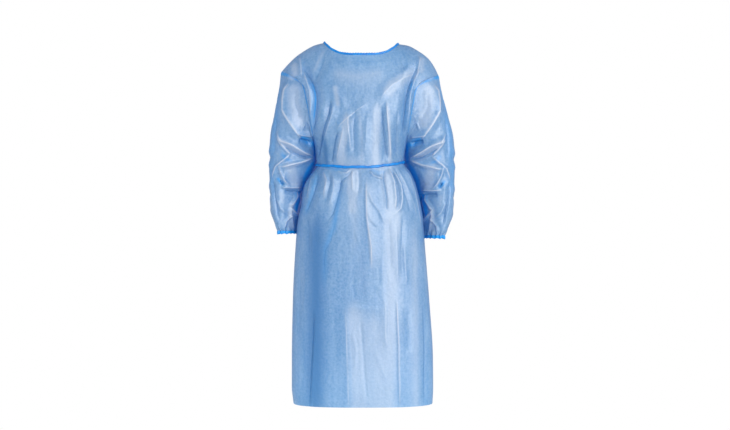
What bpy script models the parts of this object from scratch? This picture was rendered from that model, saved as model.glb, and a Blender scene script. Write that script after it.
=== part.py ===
"""Isolation gown, worn form with no wearer: thin cloth walls around an empty, open hollow.

Metres. +X is the viewer's right, the front faces -Y, +Z is up. The origin is midway between the
two neck points, where the wearer's shoulders carry the gown. Every wall is a grid of points read
from the tables below, given its thickness along the cloth's own outward direction.
"""
import math
from collections import namedtuple

import bmesh
import bpy
import numpy as np

# Driving dimensions
WALL = 0.0016  # cloth wall
SEAM_GAP = 0.0003  # between two pieces at a seam
SEAM_SPARE = 0.00004  # so that rounding doesn't close the gap
HEM_HEIGHT = -1.152
ARMPIT_HEIGHT = -0.316
BELT_HEIGHT = -0.391  # at the side seams
BELT_TALL = 0.009
BELT_THICK = 0.0034
BINDING_TALL = 0.0068
BINDING_THICK = 0.0026
CUFF_TALL = 0.0105
CUFF_THICK = 0.0030
CUFF_GATHERS = 14
CUFF_STEPS = 4  # sections along each gather
CUFF_WAVE = 0.0009  # how far each gather goes in and out
CUFF_EDGE_WAVE = 0.0006  # and up and down at its free edge
BELT_ROWS_SPARE = 0.002  # the body's two belt rows stand this much further apart than the belt
BELT_EASE = 0.0004
BINDING_EASE = 0.0004  # above the neck edge, with the seam's gap
BINDING_UPRIGHT = 0.055  # nearer the middle than this, the binding stands up
BINDING_TURN = 0.060  # over this width it comes to lie on the shoulder
BINDING_LEAN_IN = 0.75
BINDING_LEAN_BACK = 0.10
TIE_WIDE = 0.0085
TIE_THICK = 0.0018
TIE_CLEAR = 0.0022  # between a hanging end and the back
TIE_STEPS = 14
TIE_SETTLE = 0.25  # share of a hanging end over which it comes to lie on the back
TIE_SWING = 0.80  # share of its sideways lean that it has taken at its foot
TIE_UNEVEN = 0.06  # the right end hangs lower than the left
NECK_KNOT = (0.019, 0.011, 0.013)  # wide, deep, tall
NECK_TIE_LONG = 0.105
NECK_TIE_LEAN = 0.012
BELT_KNOT = (0.026, 0.014, 0.017)
BELT_TIE_LONG = 0.255
BELT_TIE_LEAN = 0.020
KNOT_FOOT = 0.90  # share of a knot's half height where its ends leave
KNOT_FULL = 0.87  # share of a knot's half depth at its drawn-in middle
KNOT_SEAT_WIDE = 0.016
KNOT_SIDES = 14
KNOT_RINGS = 8
KNOT_PULL = 0.16  # how far its middle band is drawn in
KNOT_BAND = 0.35

# Grid sizes
FRONT_COLUMNS = 28
SKIRT_ROWS = 7
WAIST_ROWS = 2
ARMHOLE_ROWS = 14
SHOULDER_ROWS = 4
BACK_COLUMNS = 15
SLEEVE_ROWS = 20
ROW_SAMPLES = 241  # points along a row before it is read at even steps
BELOW_BELT = 0.030  # the last skirt row lies this far under the belt
NECK_FADE_ROWS = 3
SIDE_FADE = 0.055  # share of a row over which its folds die away at a side seam

FRONT, BACK = -1, 1
LEFT, RIGHT = -1, 1

# Body below the armpit: half widths to each side seam, depths before and behind them, and
# how square the section is (2 is an ellipse).
Section = namedtuple("Section", "name height left right front back square")
SECTIONS = (
    Section("hem", -1.152, 0.2175, 0.2290, 0.096, 0.118, 2.8),
    Section("low skirt", -1.100, 0.2228, 0.2312, 0.099, 0.121, 2.8),
    Section("calf", -1.010, 0.2228, 0.2305, 0.102, 0.124, 2.7),
    Section("knee", -0.820, 0.2195, 0.2185, 0.107, 0.128, 2.6),
    Section("thigh", -0.645, 0.2106, 0.2045, 0.112, 0.130, 2.5),
    Section("hip", -0.565, 0.2030, 0.1985, 0.114, 0.130, 2.4),
    Section("high hip", -0.515, 0.1920, 0.1905, 0.114, 0.128, 2.4),
    Section("skirt fullness", -0.465, 0.1860, 0.1785, 0.111, 0.122, 2.3),
    Section("below belt", -0.425, 0.1660, 0.1610, 0.105, 0.111, 2.2),
    Section("belt", -0.391, 0.1425, 0.1370, 0.098, 0.098, 2.2),
    Section("above belt", -0.360, 0.1465, 0.1400, 0.101, 0.103, 2.2),
    Section("armpit", -0.316, 0.1520, 0.1460, 0.107, 0.110, 2.3),
)

# Depth of the centre line above the armpit, front and back
Depth = namedtuple("Depth", "height front back")
CHEST = (
    Depth(-0.316, 0.107, 0.110),
    Depth(-0.250, 0.112, 0.118),
    Depth(-0.190, 0.114, 0.120),
    Depth(-0.130, 0.110, 0.115),
    Depth(-0.090, 0.101, 0.104),
    Depth(-0.048, 0.088, 0.090),
    Depth(-0.030, 0.085, 0.079),
)

# Armhole edge from the armpit to the shoulder tip, and how far in and down the right one lies
Edge = namedtuple("Edge", "out depth height right_in right_down")
ARMHOLE_FRONT = (
    Edge(0.1520, 0.000, -0.316, 0.006, 0.000),
    Edge(0.1560, 0.060, -0.286, 0.007, 0.000),
    Edge(0.1630, 0.079, -0.240, 0.007, 0.002),
    Edge(0.1720, 0.082, -0.188, 0.008, 0.006),
    Edge(0.1860, 0.079, -0.132, 0.010, 0.010),
    Edge(0.2250, 0.058, -0.107, 0.009, 0.011),
    Edge(0.2570, 0.000, -0.0895, 0.008, 0.012),
)
ARMHOLE_BACK = (
    Edge(0.1520, 0.000, -0.316, 0.006, 0.000),
    Edge(0.1570, 0.060, -0.288, 0.007, 0.000),
    Edge(0.1660, 0.083, -0.240, 0.007, 0.002),
    Edge(0.1790, 0.087, -0.186, 0.008, 0.006),
    Edge(0.1980, 0.080, -0.137, 0.010, 0.010),
    Edge(0.2300, 0.055, -0.108, 0.009, 0.011),
    Edge(0.2570, 0.000, -0.0895, 0.008, 0.012),
)
# Shoulder line from its tip to the neck point
SHOULDER = (
    Edge(0.2570, 0.000, -0.0895, 0.008, 0.012),
    Edge(0.2325, 0.000, -0.0630, 0.004, 0.000),
    Edge(0.2100, 0.000, -0.0410, 0.000, 0.000),
    Edge(0.1870, 0.000, -0.0250, 0.000, 0.000),
    Edge(0.1490, 0.000, -0.0040, 0.000, 0.001),
    Edge(0.1215, 0.000, 0.0030, 0.000, 0.004),
)
# Where a row starts at each landmark of its side: the centre line's height, the power of its
# distance from the centre by which the row climbs to its ends, and how square it is
Landmark = namedtuple("Landmark", "front back climb square")
AT_ARMPIT = Landmark(-0.316, -0.316, 2.0, 2.3)
AT_TIP = Landmark(-0.140, -0.130, 2.8, 2.1)
AT_NECK = Landmark(-0.0478, -0.0290, 3.5, 2.1)

# The belt line: the front dips, and the right side is higher
BELT_DIP = 0.0095
BELT_TILT = 0.0050
BELT_REACH = 0.055  # how far above and below the belt the rows follow it

# Back opening: the right half laps over the left past the centre, as a share of the half row
LAP = 0.30
LAP_DEEP = 0.0056  # the left half lies this far under
LAP_EASE = 0.14  # share of the half row over which it comes out again

# Largest folds: how far each rises (minus is a trough), its half width, and its path of
# (x, height) on the piece
Fold = namedtuple("Fold", "name rise reach path")
FRONT_FOLDS = (
    Fold("left arm roll", -0.014, 0.026, ((-0.176, -0.05), (-0.15, -0.13), (-0.137, -0.19), (-0.146, -0.28))),
    Fold("right arm roll", -0.013, 0.026, ((0.172, -0.06), (0.146, -0.145), (0.131, -0.2), (0.139, -0.285))),
    Fold("left chest trough", -0.0120, 0.028, ((-0.090, -0.180), (-0.104, -0.258), (-0.124, -0.345))),
    Fold("left waist trough", -0.0090, 0.028, ((-0.072, -0.290), (-0.086, -0.385))),
    Fold("right waist trough", -0.0100, 0.028, ((0.066, -0.215), (0.076, -0.385))),
    Fold("right waist ridge", 0.0070, 0.026, ((0.094, -0.210), (0.090, -0.385))),
    Fold("centre gather", -0.0050, 0.022, ((-0.016, -0.330), (-0.024, -0.392))),
    Fold("left skirt trough", -0.0100, 0.030, ((-0.118, -0.425), (-0.150, -0.540))),
    Fold("left skirt drape", -0.0090, 0.038, ((-0.066, -0.440), (-0.086, -0.560), (-0.108, -0.820))),
    Fold("wedge left", 0.0070, 0.032, ((0.010, -0.440), (0.000, -0.600))),
    Fold("right drape", -0.0100, 0.030, ((0.066, -0.440), (0.080, -0.545), (0.124, -0.500))),
    Fold("right hip ridge", 0.0080, 0.030, ((0.100, -0.405), (0.150, -0.500), (0.168, -0.620))),
    Fold("left hem trough", -0.0130, 0.032, ((-0.138, -0.850), (-0.152, -1.000), (-0.166, -1.160))),
    Fold("centre hem trough", -0.0090, 0.038, ((0.000, -0.860), (0.012, -1.000), (0.020, -1.160))),
    Fold("right hem ridge", 0.0090, 0.034, ((0.118, -0.900), (0.126, -1.160))),
    Fold("right side trough", -0.0080, 0.032, ((0.176, -0.760), (0.186, -1.160))),
)
BACK_FOLDS = (
    Fold("left arm roll", -0.0080, 0.026, ((-0.170, -0.075), (-0.148, -0.150), (-0.142, -0.270))),
    Fold("right arm roll", -0.0080, 0.026, ((0.166, -0.080), (0.143, -0.160), (0.136, -0.275))),
    Fold("left blade trough", -0.0080, 0.028, ((-0.105, -0.200), (-0.100, -0.385))),
    Fold("right blade trough", -0.0080, 0.028, ((0.098, -0.210), (0.104, -0.385))),
    Fold("left skirt trough", -0.0080, 0.030, ((-0.100, -0.420), (-0.120, -0.640))),
    Fold("right skirt trough", -0.0080, 0.030, ((0.104, -0.420), (0.116, -0.680))),
    Fold("left hem trough", -0.0090, 0.032, ((-0.130, -0.800), (-0.142, -1.160))),
    Fold("right hem trough", -0.0090, 0.032, ((0.138, -0.780), (0.150, -1.160))),
)
# A fold starts at this share of its rise, and swells to all of it by this power of a sine
FOLD_START = 0.35
FOLD_SWELL = 0.6

# Sleeve rings for the left arm: outer and inner ends, how far back each lies, and half depth
Ring = namedtuple("Ring", "outer outer_height inner inner_height outer_back inner_back depth")
RINGS = (
    Ring(0.2570, -0.0895, 0.1520, -0.316, 0.000, 0.000, 0.082),
    Ring(0.2640, -0.1350, 0.1570, -0.330, 0.000, 0.000, 0.084),
    Ring(0.2725, -0.1800, 0.1600, -0.341, 0.000, 0.000, 0.086),
    Ring(0.2830, -0.2300, 0.1620, -0.352, 0.002, 0.002, 0.087),
    Ring(0.2920, -0.2850, 0.1640, -0.364, 0.004, 0.004, 0.086),
    Ring(0.2955, -0.3400, 0.1690, -0.384, 0.004, 0.008, 0.082),
    Ring(0.2960, -0.3950, 0.1830, -0.414, 0.002, 0.018, 0.076),
    Ring(0.2945, -0.4450, 0.1940, -0.450, -0.002, 0.026, 0.070),
    Ring(0.2935, -0.4950, 0.1960, -0.495, -0.008, 0.028, 0.065),
    Ring(0.2895, -0.5350, 0.2020, -0.535, -0.012, 0.022, 0.059),
    Ring(0.2805, -0.5650, 0.2080, -0.565, -0.015, 0.012, 0.051),
    Ring(0.2725, -0.5890, 0.2120, -0.589, -0.017, 0.002, 0.043),
    Ring(0.2655, -0.6010, 0.2140, -0.601, -0.018, -0.004, 0.038),
)
RIGHT_SLEEVE_OUT = 0.005
RIGHT_SLEEVE_DOWN = 0.015
ARMHOLE_FADE = 0.40  # share of the sleeve over which the armhole's own shape fades out
ARMHOLE_GAP = 0.00042  # a sleeve's first ring stands this far off the armhole's edge
ARMHOLE_TURN_LIMIT = 2.35  # sharpest turn between body and sleeve that is given room
ARMHOLE_FAIR = 0.35  # share of that room which the second ring gives too
GATHER_TALL = 0.0024
GATHER_SHARE = 0.16  # share of the sleeve above the cuff that is gathered
FOLD_FADE_TOP = 0.12  # shares of the sleeve over which its folds die away at its ends
FOLD_FADE_END = 0.10
TURN_TO_BACK = 0.25  # how far a wall may face back and still carry some of the front's folds
SLEEVE_FRONT_FOLDS = (
    Fold("upper fold", 0.0100, 0.030, ((0.246, -0.180), (0.246, -0.220), (0.202, -0.296), (0.166, -0.330))),
    Fold("inner pocket", -0.0140, 0.026, ((0.206, -0.276), (0.184, -0.306))),
    Fold("elbow ridge", 0.0120, 0.028, ((0.268, -0.295), (0.253, -0.318), (0.214, -0.338), (0.172, -0.362))),
    Fold("under elbow", -0.0100, 0.026, ((0.200, -0.382), (0.246, -0.400))),
    Fold("forearm hollow", -0.0070, 0.026, ((0.268, -0.400), (0.262, -0.440))),
    Fold("forearm ridge", 0.0110, 0.026, ((0.264, -0.461), (0.210, -0.461), (0.226, -0.525))),
    Fold("wrist pocket", -0.0080, 0.026, ((0.205, -0.490), (0.212, -0.545))),
)
SLEEVE_BACK_FOLDS = (
    Fold("upper fold", 0.0090, 0.030, ((0.190, -0.190), (0.240, -0.260))),
    Fold("elbow hollow", -0.0120, 0.030, ((0.190, -0.330), (0.240, -0.345))),
    Fold("elbow ridge", 0.0100, 0.028, ((0.190, -0.376), (0.268, -0.390))),
    Fold("forearm ridge", 0.0090, 0.028, ((0.220, -0.455), (0.274, -0.490))),
)

CLOTH_BLUE = (0.36, 0.56, 0.86, 1.0)
TRIM_BLUE = (0.03, 0.25, 0.80, 1.0)
CLOTH_ROUGHNESS = 0.38
TRIM_ROUGHNESS = 0.45
SHARP_EDGE = math.radians(50)


def through(places, values, at):
    """Read a smooth curve through (places, values), which never overshoots its rows."""
    places, values = np.asarray(places, float), np.asarray(values, float)
    step = np.diff(places)
    rise = np.diff(values) / step
    slope = np.empty(len(values))
    slope[0], slope[-1] = rise[0], rise[-1]
    level = np.abs(rise[:-1] + rise[1:]) < 1e-12
    mean = 2.0 * rise[:-1] * rise[1:] / np.where(level, 1.0, rise[:-1] + rise[1:])
    slope[1:-1] = np.where(rise[:-1] * rise[1:] > 0.0, mean, 0.0)
    at = np.clip(np.asarray(at, float), places[0], places[-1])
    i = np.clip(np.searchsorted(places, at) - 1, 0, len(step) - 1)
    t = (at - places[i]) / step[i]
    start, end = values[i], values[i + 1]
    lean = step[i] * slope[i] * t * (1 - t) ** 2 - step[i] * slope[i + 1] * t ** 2 * (1 - t)
    return start + (end - start) * t * t * (3 - 2 * t) + lean


def ease(share):
    """0 to 1 with level ends."""
    share = np.clip(share, 0.0, 1.0)
    return share * share * (3.0 - 2.0 * share)


def column(rows, name):
    return [getattr(row, name) for row in rows]


def lengths_along(points):
    steps = np.linalg.norm(np.diff(points, axis=0), axis=1)
    return np.concatenate(([0.0], np.cumsum(steps)))


def spread_evenly(points, shares):
    """Points at the given shares of a polyline's length."""
    along = lengths_along(points)
    return np.column_stack([np.interp(np.asarray(shares) * along[-1], along, p) for p in points.T])


def smooth_path(points, shares):
    """Points at the given shares of a smooth path through a few points."""
    points = np.asarray(points, float)
    along = lengths_along(points)
    fine = np.linspace(0.0, along[-1], ROW_SAMPLES)
    curve = np.column_stack([through(along, p, fine) for p in points.T])
    return spread_evenly(curve, shares)


def edge_path(rows, face, side):
    """An armhole or shoulder table as points on one side of the front or the back."""
    right = 1.0 if side == RIGHT else 0.0
    return [
        (side * (row.out - right * row.right_in), face * row.depth, row.height - right * row.right_down)
        for row in rows
    ]


def armhole_points(face, side):
    """Armhole edge from the armpit to the shoulder tip, at the row ends."""
    rows = ARMHOLE_FRONT if face == FRONT else ARMHOLE_BACK
    return smooth_path(edge_path(rows, face, side), np.linspace(0, 1, ARMHOLE_ROWS + 1))


def shoulder_points(side):
    return smooth_path(edge_path(SHOULDER, FRONT, side), np.linspace(0, 1, SHOULDER_ROWS + 1))


def seam_heights():
    """Row heights on the side seam, hem to armpit, with two rows at the belt's edges."""
    skirt = np.linspace(HEM_HEIGHT, BELT_HEIGHT - BELT_TALL / 2 - BELOW_BELT, SKIRT_ROWS + 1)
    belt = BELT_HEIGHT + np.array([-0.5, 0.5]) * (BELT_TALL + BELT_ROWS_SPARE)
    above = np.linspace(belt[1], ARMPIT_HEIGHT, WAIST_ROWS + 1)[1:]
    return np.concatenate((skirt, belt, above))


def section_value(name, height):
    heights, values = column(SECTIONS, "height"), column(SECTIONS, name)
    return float(through(heights, values, height))


def near_belt(height):
    """1 at the belt's height, falling away above and below it."""
    return math.exp(-(((height - BELT_HEIGHT) / BELT_REACH) ** 2))


def belt_rise(height):
    """How much higher a row meets the right side seam than the left one."""
    return 2 * BELT_TILT * near_belt(height)


def rows_below_armpit(face, which):
    rows = []
    for height in seam_heights():
        dip = BELT_DIP * near_belt(height) if face == FRONT else 0.0
        left = np.array([-section_value("left", height), 0.0, height])
        right = np.array([section_value("right", height), 0.0, height + belt_rise(height)])
        square = section_value("square", height)
        rows.append((left, right, height - dip, section_value(which, height), square, AT_ARMPIT.climb))
    return rows


def rows_between(lefts, rights, low, high, which):
    """Rows over one stretch of the armhole or the shoulder, from landmark `low` to `high`."""
    rows = []
    start, end = getattr(low, which), getattr(high, which)
    for i in range(1, len(lefts)):
        share = i / (len(lefts) - 1)
        height = start + (end - start) * share
        depth = float(through(column(CHEST, "height"), column(CHEST, which), height))
        square = low.square + (high.square - low.square) * share
        climb = low.climb + (high.climb - low.climb) * share
        rows.append((lefts[i], rights[i], height, depth, square, climb))
    return rows


def row_ends(face):
    """For every row: its left end, right end, centre height, depth, squareness and climb."""
    which = "front" if face == FRONT else "back"
    rows = rows_below_armpit(face, which)
    rows += rows_between(armhole_points(face, LEFT), armhole_points(face, RIGHT), AT_ARMPIT, AT_TIP, which)
    rows += rows_between(shoulder_points(LEFT), shoulder_points(RIGHT), AT_TIP, AT_NECK, which)
    return rows


def row_curve(face, row):
    """A row of the body's plain form as a fine polyline from its left end to its right end."""
    left, right, height, depth, square, climb = row
    share = np.linspace(-1.0, 1.0, ROW_SAMPLES)
    angle = np.abs(share) * math.pi / 2
    across = np.sin(angle) ** (2.0 / square)
    forward = np.abs(np.cos(angle)) ** (2.0 / square)
    end = np.where((share < 0)[:, None], left, right)
    end_depth = np.abs(end[:, 1])
    x = end[:, 0] * across
    y = face * (end_depth + (depth - end_depth) * forward)
    z = height + (end[:, 2] - height) * across ** climb
    return np.column_stack((x, y, z))


def distance_to_path(x, z, path):
    """Distance of (x, z) points to a path, and the share of the path where it is nearest."""
    path = np.asarray(path, float)
    along = lengths_along(path)
    best = np.full(np.shape(x), 1e9)
    share = np.zeros(np.shape(x))
    for a, b, start in zip(path[:-1], path[1:], along[:-1]):
        run = b - a
        t = np.clip(((x - a[0]) * run[0] + (z - a[1]) * run[1]) / (run @ run), 0.0, 1.0)
        gap = np.hypot(x - a[0] - t * run[0], z - a[1] - t * run[1])
        nearer = gap < best
        best = np.where(nearer, gap, best)
        share = np.where(nearer, (start + t * np.linalg.norm(run)) / along[-1], share)
    return best, share


def fold_rise(x, z, folds):
    """Height of all folds at (x, z): each one swells from its ends to its middle."""
    total = np.zeros(np.shape(x))
    for fold in folds:
        gap, share = distance_to_path(x, z, fold.path)
        arch = np.maximum(np.sin(math.pi * share), 0.0) ** FOLD_SWELL
        swell = FOLD_START + (1.0 - FOLD_START) * arch
        total += fold.rise * swell * (1.0 - ease(gap / fold.reach))
    return total


def outward(grid, around=False, like=None):
    """Unit normals of a grid of points (rows, columns), pointing away from `like`."""
    up = np.gradient(grid, axis=0)
    if around:
        across = (np.roll(grid, -1, axis=1) - np.roll(grid, 1, axis=1)) / 2
    else:
        across = np.gradient(grid, axis=1)
    normal = np.cross(across, up)
    normal /= np.linalg.norm(normal, axis=2, keepdims=True)
    away = np.sum(normal * (grid - like), axis=2)
    return normal if np.sum(away) > 0 else -normal


def body_centres(grid):
    """The gown's axis beside each point, for telling outward from inward."""
    return grid * (0.0, 0.0, 1.0)


def body_grid(face, shares):
    """One face of the body, rows from hem to neck, read at shares of each row's length."""
    rows = row_ends(face)
    plain = np.array([spread_evenly(row_curve(face, row), shares) for row in rows])
    normals = outward(plain, like=body_centres(plain))
    folds = FRONT_FOLDS if face == FRONT else BACK_FOLDS
    rise = fold_rise(plain[..., 0], plain[..., 2], folds)
    from_end = np.minimum(np.asarray(shares), 1.0 - np.asarray(shares))
    at_ends = ease(from_end / SIDE_FADE)
    from_neck = len(rows) - 1 - np.arange(len(rows))
    at_neck = ease(from_neck / NECK_FADE_ROWS)
    return plain + normals * (rise * at_ends[None, :] * at_neck[:, None])[..., None]


def add_piece(name, vertices, faces, colour, roughness):
    mesh = bpy.data.meshes.new(name)
    mesh.from_pydata([tuple(v) for v in vertices], [], faces)
    body = bmesh.new()
    body.from_mesh(mesh)
    bmesh.ops.recalc_face_normals(body, faces=body.faces)
    body.to_mesh(mesh)
    body.free()
    mesh.shade_smooth()
    mesh.set_sharp_from_angle(angle=SHARP_EDGE)
    piece = bpy.data.objects.new(name, mesh)
    bpy.context.scene.collection.objects.link(piece)
    material = bpy.data.materials.new(name + "_cloth")
    material.use_nodes = True
    shader = material.node_tree.nodes["Principled BSDF"]
    shader.inputs["Base Color"].default_value = colour
    shader.inputs["Roughness"].default_value = roughness
    shader.inputs["Metallic"].default_value = 0.0
    mesh.materials.append(material)
    return piece


def wall(name, grid, normals, around=False):
    """A closed cloth wall of even thickness on a grid of points; both skins share diagonals."""
    rows, columns = grid.shape[:2]
    outer = grid + normals * WALL / 2
    inner = grid - normals * WALL / 2
    vertices = np.concatenate((outer.reshape(-1, 3), inner.reshape(-1, 3)))
    skin = rows * columns
    faces = []
    last = columns if around else columns - 1
    for j in range(rows - 1):
        for i in range(last):
            k = (i + 1) % columns
            a, b, c, d = j * columns + i, j * columns + k, (j + 1) * columns + k, (j + 1) * columns + i
            mid = grid.reshape(-1, 3)
            if np.linalg.norm(mid[a] - mid[c]) < np.linalg.norm(mid[b] - mid[d]):
                pair = ((a, b, c), (a, c, d))
            else:
                pair = ((a, b, d), (b, c, d))
            for triangle in pair:
                faces.append(triangle)
                faces.append(tuple(skin + v for v in reversed(triangle)))
    rim = []
    for i in range(last):
        k = (i + 1) % columns
        rim.append((k, i))
        rim.append(((rows - 1) * columns + i, (rows - 1) * columns + k))
    if not around:
        for j in range(rows - 1):
            rim.append((j * columns, (j + 1) * columns))
            rim.append(((j + 2) * columns - 1, (j + 1) * columns - 1))
    for a, b in rim:
        faces.append((a, b, skin + b))
        faces.append((a, skin + b, skin + a))
    return add_piece(name, vertices, faces, CLOTH_BLUE, CLOTH_ROUGHNESS)


def strip(name, loops, closed):
    """A solid strip through cross-section loops, closed into a ring or capped at its ends."""
    count, sides = len(loops), len(loops[0])
    vertices = np.concatenate(loops)
    faces = []
    for j in range(count if closed else count - 1):
        a, b = j * sides, ((j + 1) % count) * sides
        for i in range(sides):
            k = (i + 1) % sides
            faces.append((a + i, a + k, b + k))
            faces.append((a + i, b + k, b + i))
    if not closed:
        faces.append(tuple(range(sides)))
        faces.append(tuple(reversed(range((count - 1) * sides, count * sides))))
    return add_piece(name, vertices, faces, TRIM_BLUE, TRIM_ROUGHNESS)


def draw_in(grid, columns, by):
    """Move the named end columns of a grid along its rows, towards its middle."""
    moved = grid.copy()
    for end, neighbour in columns:
        run = grid[:, neighbour] - grid[:, end]
        moved[:, end] += by * run / np.linalg.norm(run, axis=1, keepdims=True)
    return moved


def share_normals(front, back, rows, front_column, back_column):
    """Give both pieces of a seam the same outward direction along it."""
    both = front[rows, front_column] + back[rows, back_column]
    both /= np.linalg.norm(both, axis=1, keepdims=True)
    front[rows, front_column] = both
    back[rows, back_column] = both


def lap_depth(share):
    """How far the left back lies under at a share of the back row (0 left seam, 1 right seam)."""
    start = 0.5 - LAP / 2 - LAP_EASE
    return LAP_DEEP * ease((share - start) / LAP_EASE)


def make_body():
    front_shares = np.linspace(0.0, 1.0, FRONT_COLUMNS + 1)
    left_shares = np.linspace(0.0, 0.5 + LAP / 2, BACK_COLUMNS + 1)
    right_shares = np.linspace(0.5 - LAP / 2, 1.0, BACK_COLUMNS + 1)
    front = body_grid(FRONT, front_shares)
    left, right = body_grid(BACK, left_shares), body_grid(BACK, right_shares)
    normals = {
        "front": outward(front, like=body_centres(front)),
        "left": outward(left, like=body_centres(left)),
        "right": outward(right, like=body_centres(right)),
    }
    before_lap = left
    left = left - normals["left"] * lap_depth(left_shares)[None, :, None]
    seam = np.arange(len(front))
    share_normals(normals["front"], normals["left"], seam, 0, 0)
    share_normals(normals["front"], normals["right"], seam, -1, -1)
    half = SEAM_GAP / 2 + SEAM_SPARE
    front = draw_in(front, ((0, 1), (-1, -2)), half)
    left = draw_in(left, ((0, 1),), half)
    right = draw_in(right, ((-1, -2),), half)
    wall("body_front", front, normals["front"])
    wall("back_left", left, normals["left"])
    wall("back_right", right, normals["right"])
    return front, left, right, before_lap, normals


def sleeve_ring_values(share):
    at = np.linspace(0.0, 1.0, len(RINGS))
    return {name: float(through(at, column(RINGS, name), share)) for name in Ring._fields}


def sleeve_grid(side):
    """Left or right sleeve, rows from armhole to cuff, columns round from the outer line."""
    front_hole = armhole_points(FRONT, side)[::-1]
    back_hole = armhole_points(BACK, side)
    hole = np.concatenate((front_hole, back_hole[1:-1]))
    count = len(hole)
    angle = np.arange(count) * 2 * math.pi / count
    right = 1.0 if side == RIGHT else 0.0
    grid = []
    first = None
    for row in range(SLEEVE_ROWS + 1):
        share = row / SLEEVE_ROWS
        ring = sleeve_ring_values(share)
        out = right * RIGHT_SLEEVE_OUT * math.sin(math.pi * share)
        down = right * RIGHT_SLEEVE_DOWN * share
        outer = np.array([side * (ring["outer"] + out), ring["outer_back"], ring["outer_height"] - down])
        inner = np.array([side * (ring["inner"] + out), ring["inner_back"], ring["inner_height"] - down])
        middle, reach = (outer + inner) / 2, (outer - inner) / 2
        turn = np.cos(angle)[:, None] * reach + np.sin(angle)[:, None] * np.array([0, -ring["depth"], 0])
        if first is None:
            first = hole - (middle + turn)
        grid.append(middle + turn + first * (1.0 - ease(share / ARMHOLE_FADE)))
    return np.array(grid)


def sleeve_centres(grid):
    return np.broadcast_to(grid.mean(axis=1, keepdims=True), grid.shape)


def folded_sleeve(side):
    plain = sleeve_grid(side)
    normals = outward(plain, around=True, like=sleeve_centres(plain))
    share = np.linspace(0.0, 1.0, len(plain))[:, None]
    x = np.abs(plain[..., 0])
    z = plain[..., 2] + (RIGHT_SLEEVE_DOWN * share if side == RIGHT else 0.0)
    facing = normals[..., 1]
    front_share = ease((TURN_TO_BACK - facing) / (2 * TURN_TO_BACK))
    rise = fold_rise(x, z, SLEEVE_FRONT_FOLDS) * front_share
    rise += fold_rise(x, z, SLEEVE_BACK_FOLDS) * (1.0 - front_share)
    rise *= ease(share / FOLD_FADE_TOP) * ease((1.0 - share) / FOLD_FADE_END)
    gather = ease((share - 1.0 + GATHER_SHARE) / GATHER_SHARE)
    wave = np.where(np.arange(plain.shape[1]) % 2 == 0, 1.0, -1.0)[None, :]
    rise = rise + GATHER_TALL * wave * gather
    return plain + normals * rise[..., None]


def set_back_from_armhole(grid, normals, body_normals):
    """Leave room at the armhole, more where the sleeve turns sharply away from the body."""
    run = grid[1] - grid[0]
    run /= np.linalg.norm(run, axis=1, keepdims=True)
    turn = np.arccos(np.clip(np.sum(normals[0] * body_normals, axis=1), -1.0, 1.0))
    room = ARMHOLE_GAP + WALL * np.tan(np.clip(turn, 0.0, ARMHOLE_TURN_LIMIT) / 2)
    moved = grid.copy()
    moved[0] = grid[0] + run * room[:, None]
    fair = ARMHOLE_FAIR * np.maximum(room - SEAM_GAP, 0.0)
    moved[1] = grid[1] + run * fair[:, None]
    return moved


def armhole_normals(normals, side):
    """The body's outward directions round an armhole, in the sleeve's order of columns."""
    first = SKIRT_ROWS + 1 + 1 + WAIST_ROWS
    hole = np.arange(first, first + ARMHOLE_ROWS + 1)
    front = normals["front"][hole, 0 if side == LEFT else -1][::-1]
    half = normals["left"][hole, 0] if side == LEFT else normals["right"][hole, -1]
    return np.concatenate((front, half[1:-1]))


def make_sleeve(side, name, normals):
    grid = folded_sleeve(side)
    own = outward(grid, around=True, like=sleeve_centres(grid))
    grid = set_back_from_armhole(grid, own, armhole_normals(normals, side))
    own = outward(grid, around=True, like=sleeve_centres(grid))
    own[-1, :, 2] = 0.0
    own[-1] /= np.linalg.norm(own[-1], axis=1, keepdims=True)
    end = grid[-1, :, 2].mean()
    grid[-1, :, 2] = end
    wall("sleeve_" + name, grid, own, around=True)
    return grid[-1]


def make_cuff(name, end):
    """The bound elastic edge: a gathered ring just below the sleeve's end."""
    count = CUFF_GATHERS * CUFF_STEPS
    centre = end.mean(axis=0)
    top = end[0][2] - SEAM_GAP
    ring = spread_evenly(np.concatenate((end, end[:1])), np.arange(count) / count)
    loops = []
    for i, point in enumerate(ring):
        away = (point - centre) * (1.0, 1.0, 0.0)
        away /= np.linalg.norm(away)
        turn = 2 * math.pi * i / CUFF_STEPS
        base = np.array([point[0], point[1], top]) + away * CUFF_WAVE * math.cos(turn)
        drop = np.array([0.0, 0.0, -CUFF_TALL + CUFF_EDGE_WAVE * math.sin(turn)])
        half = away * CUFF_THICK / 2
        loops.append(np.array([base + half, base - half, base - half + drop, base + half + drop]))
    strip("cuff_" + name, loops, closed=True)


def binding_directions(top):
    """Which way is up and which way is out for the binding at each point of the neck edge."""
    run = np.gradient(top, axis=0)
    run /= np.linalg.norm(run, axis=1, keepdims=True)
    on_shoulder = ease((np.abs(top[:, 0]) - BINDING_UPRIGHT) / BINDING_TURN)
    lean = np.column_stack((
        -np.sign(top[:, 0]) * BINDING_LEAN_IN * on_shoulder,
        -np.sign(top[:, 1]) * BINDING_LEAN_BACK * (1 - on_shoulder),
        np.ones(len(top)),
    ))
    lean /= np.linalg.norm(lean, axis=1, keepdims=True)
    away = np.cross(lean, run)
    away /= np.linalg.norm(away, axis=1, keepdims=True)
    from_middle = top - top.mean(axis=0)
    return lean, away * np.sign(np.sum(away * from_middle, axis=1))[:, None]


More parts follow.
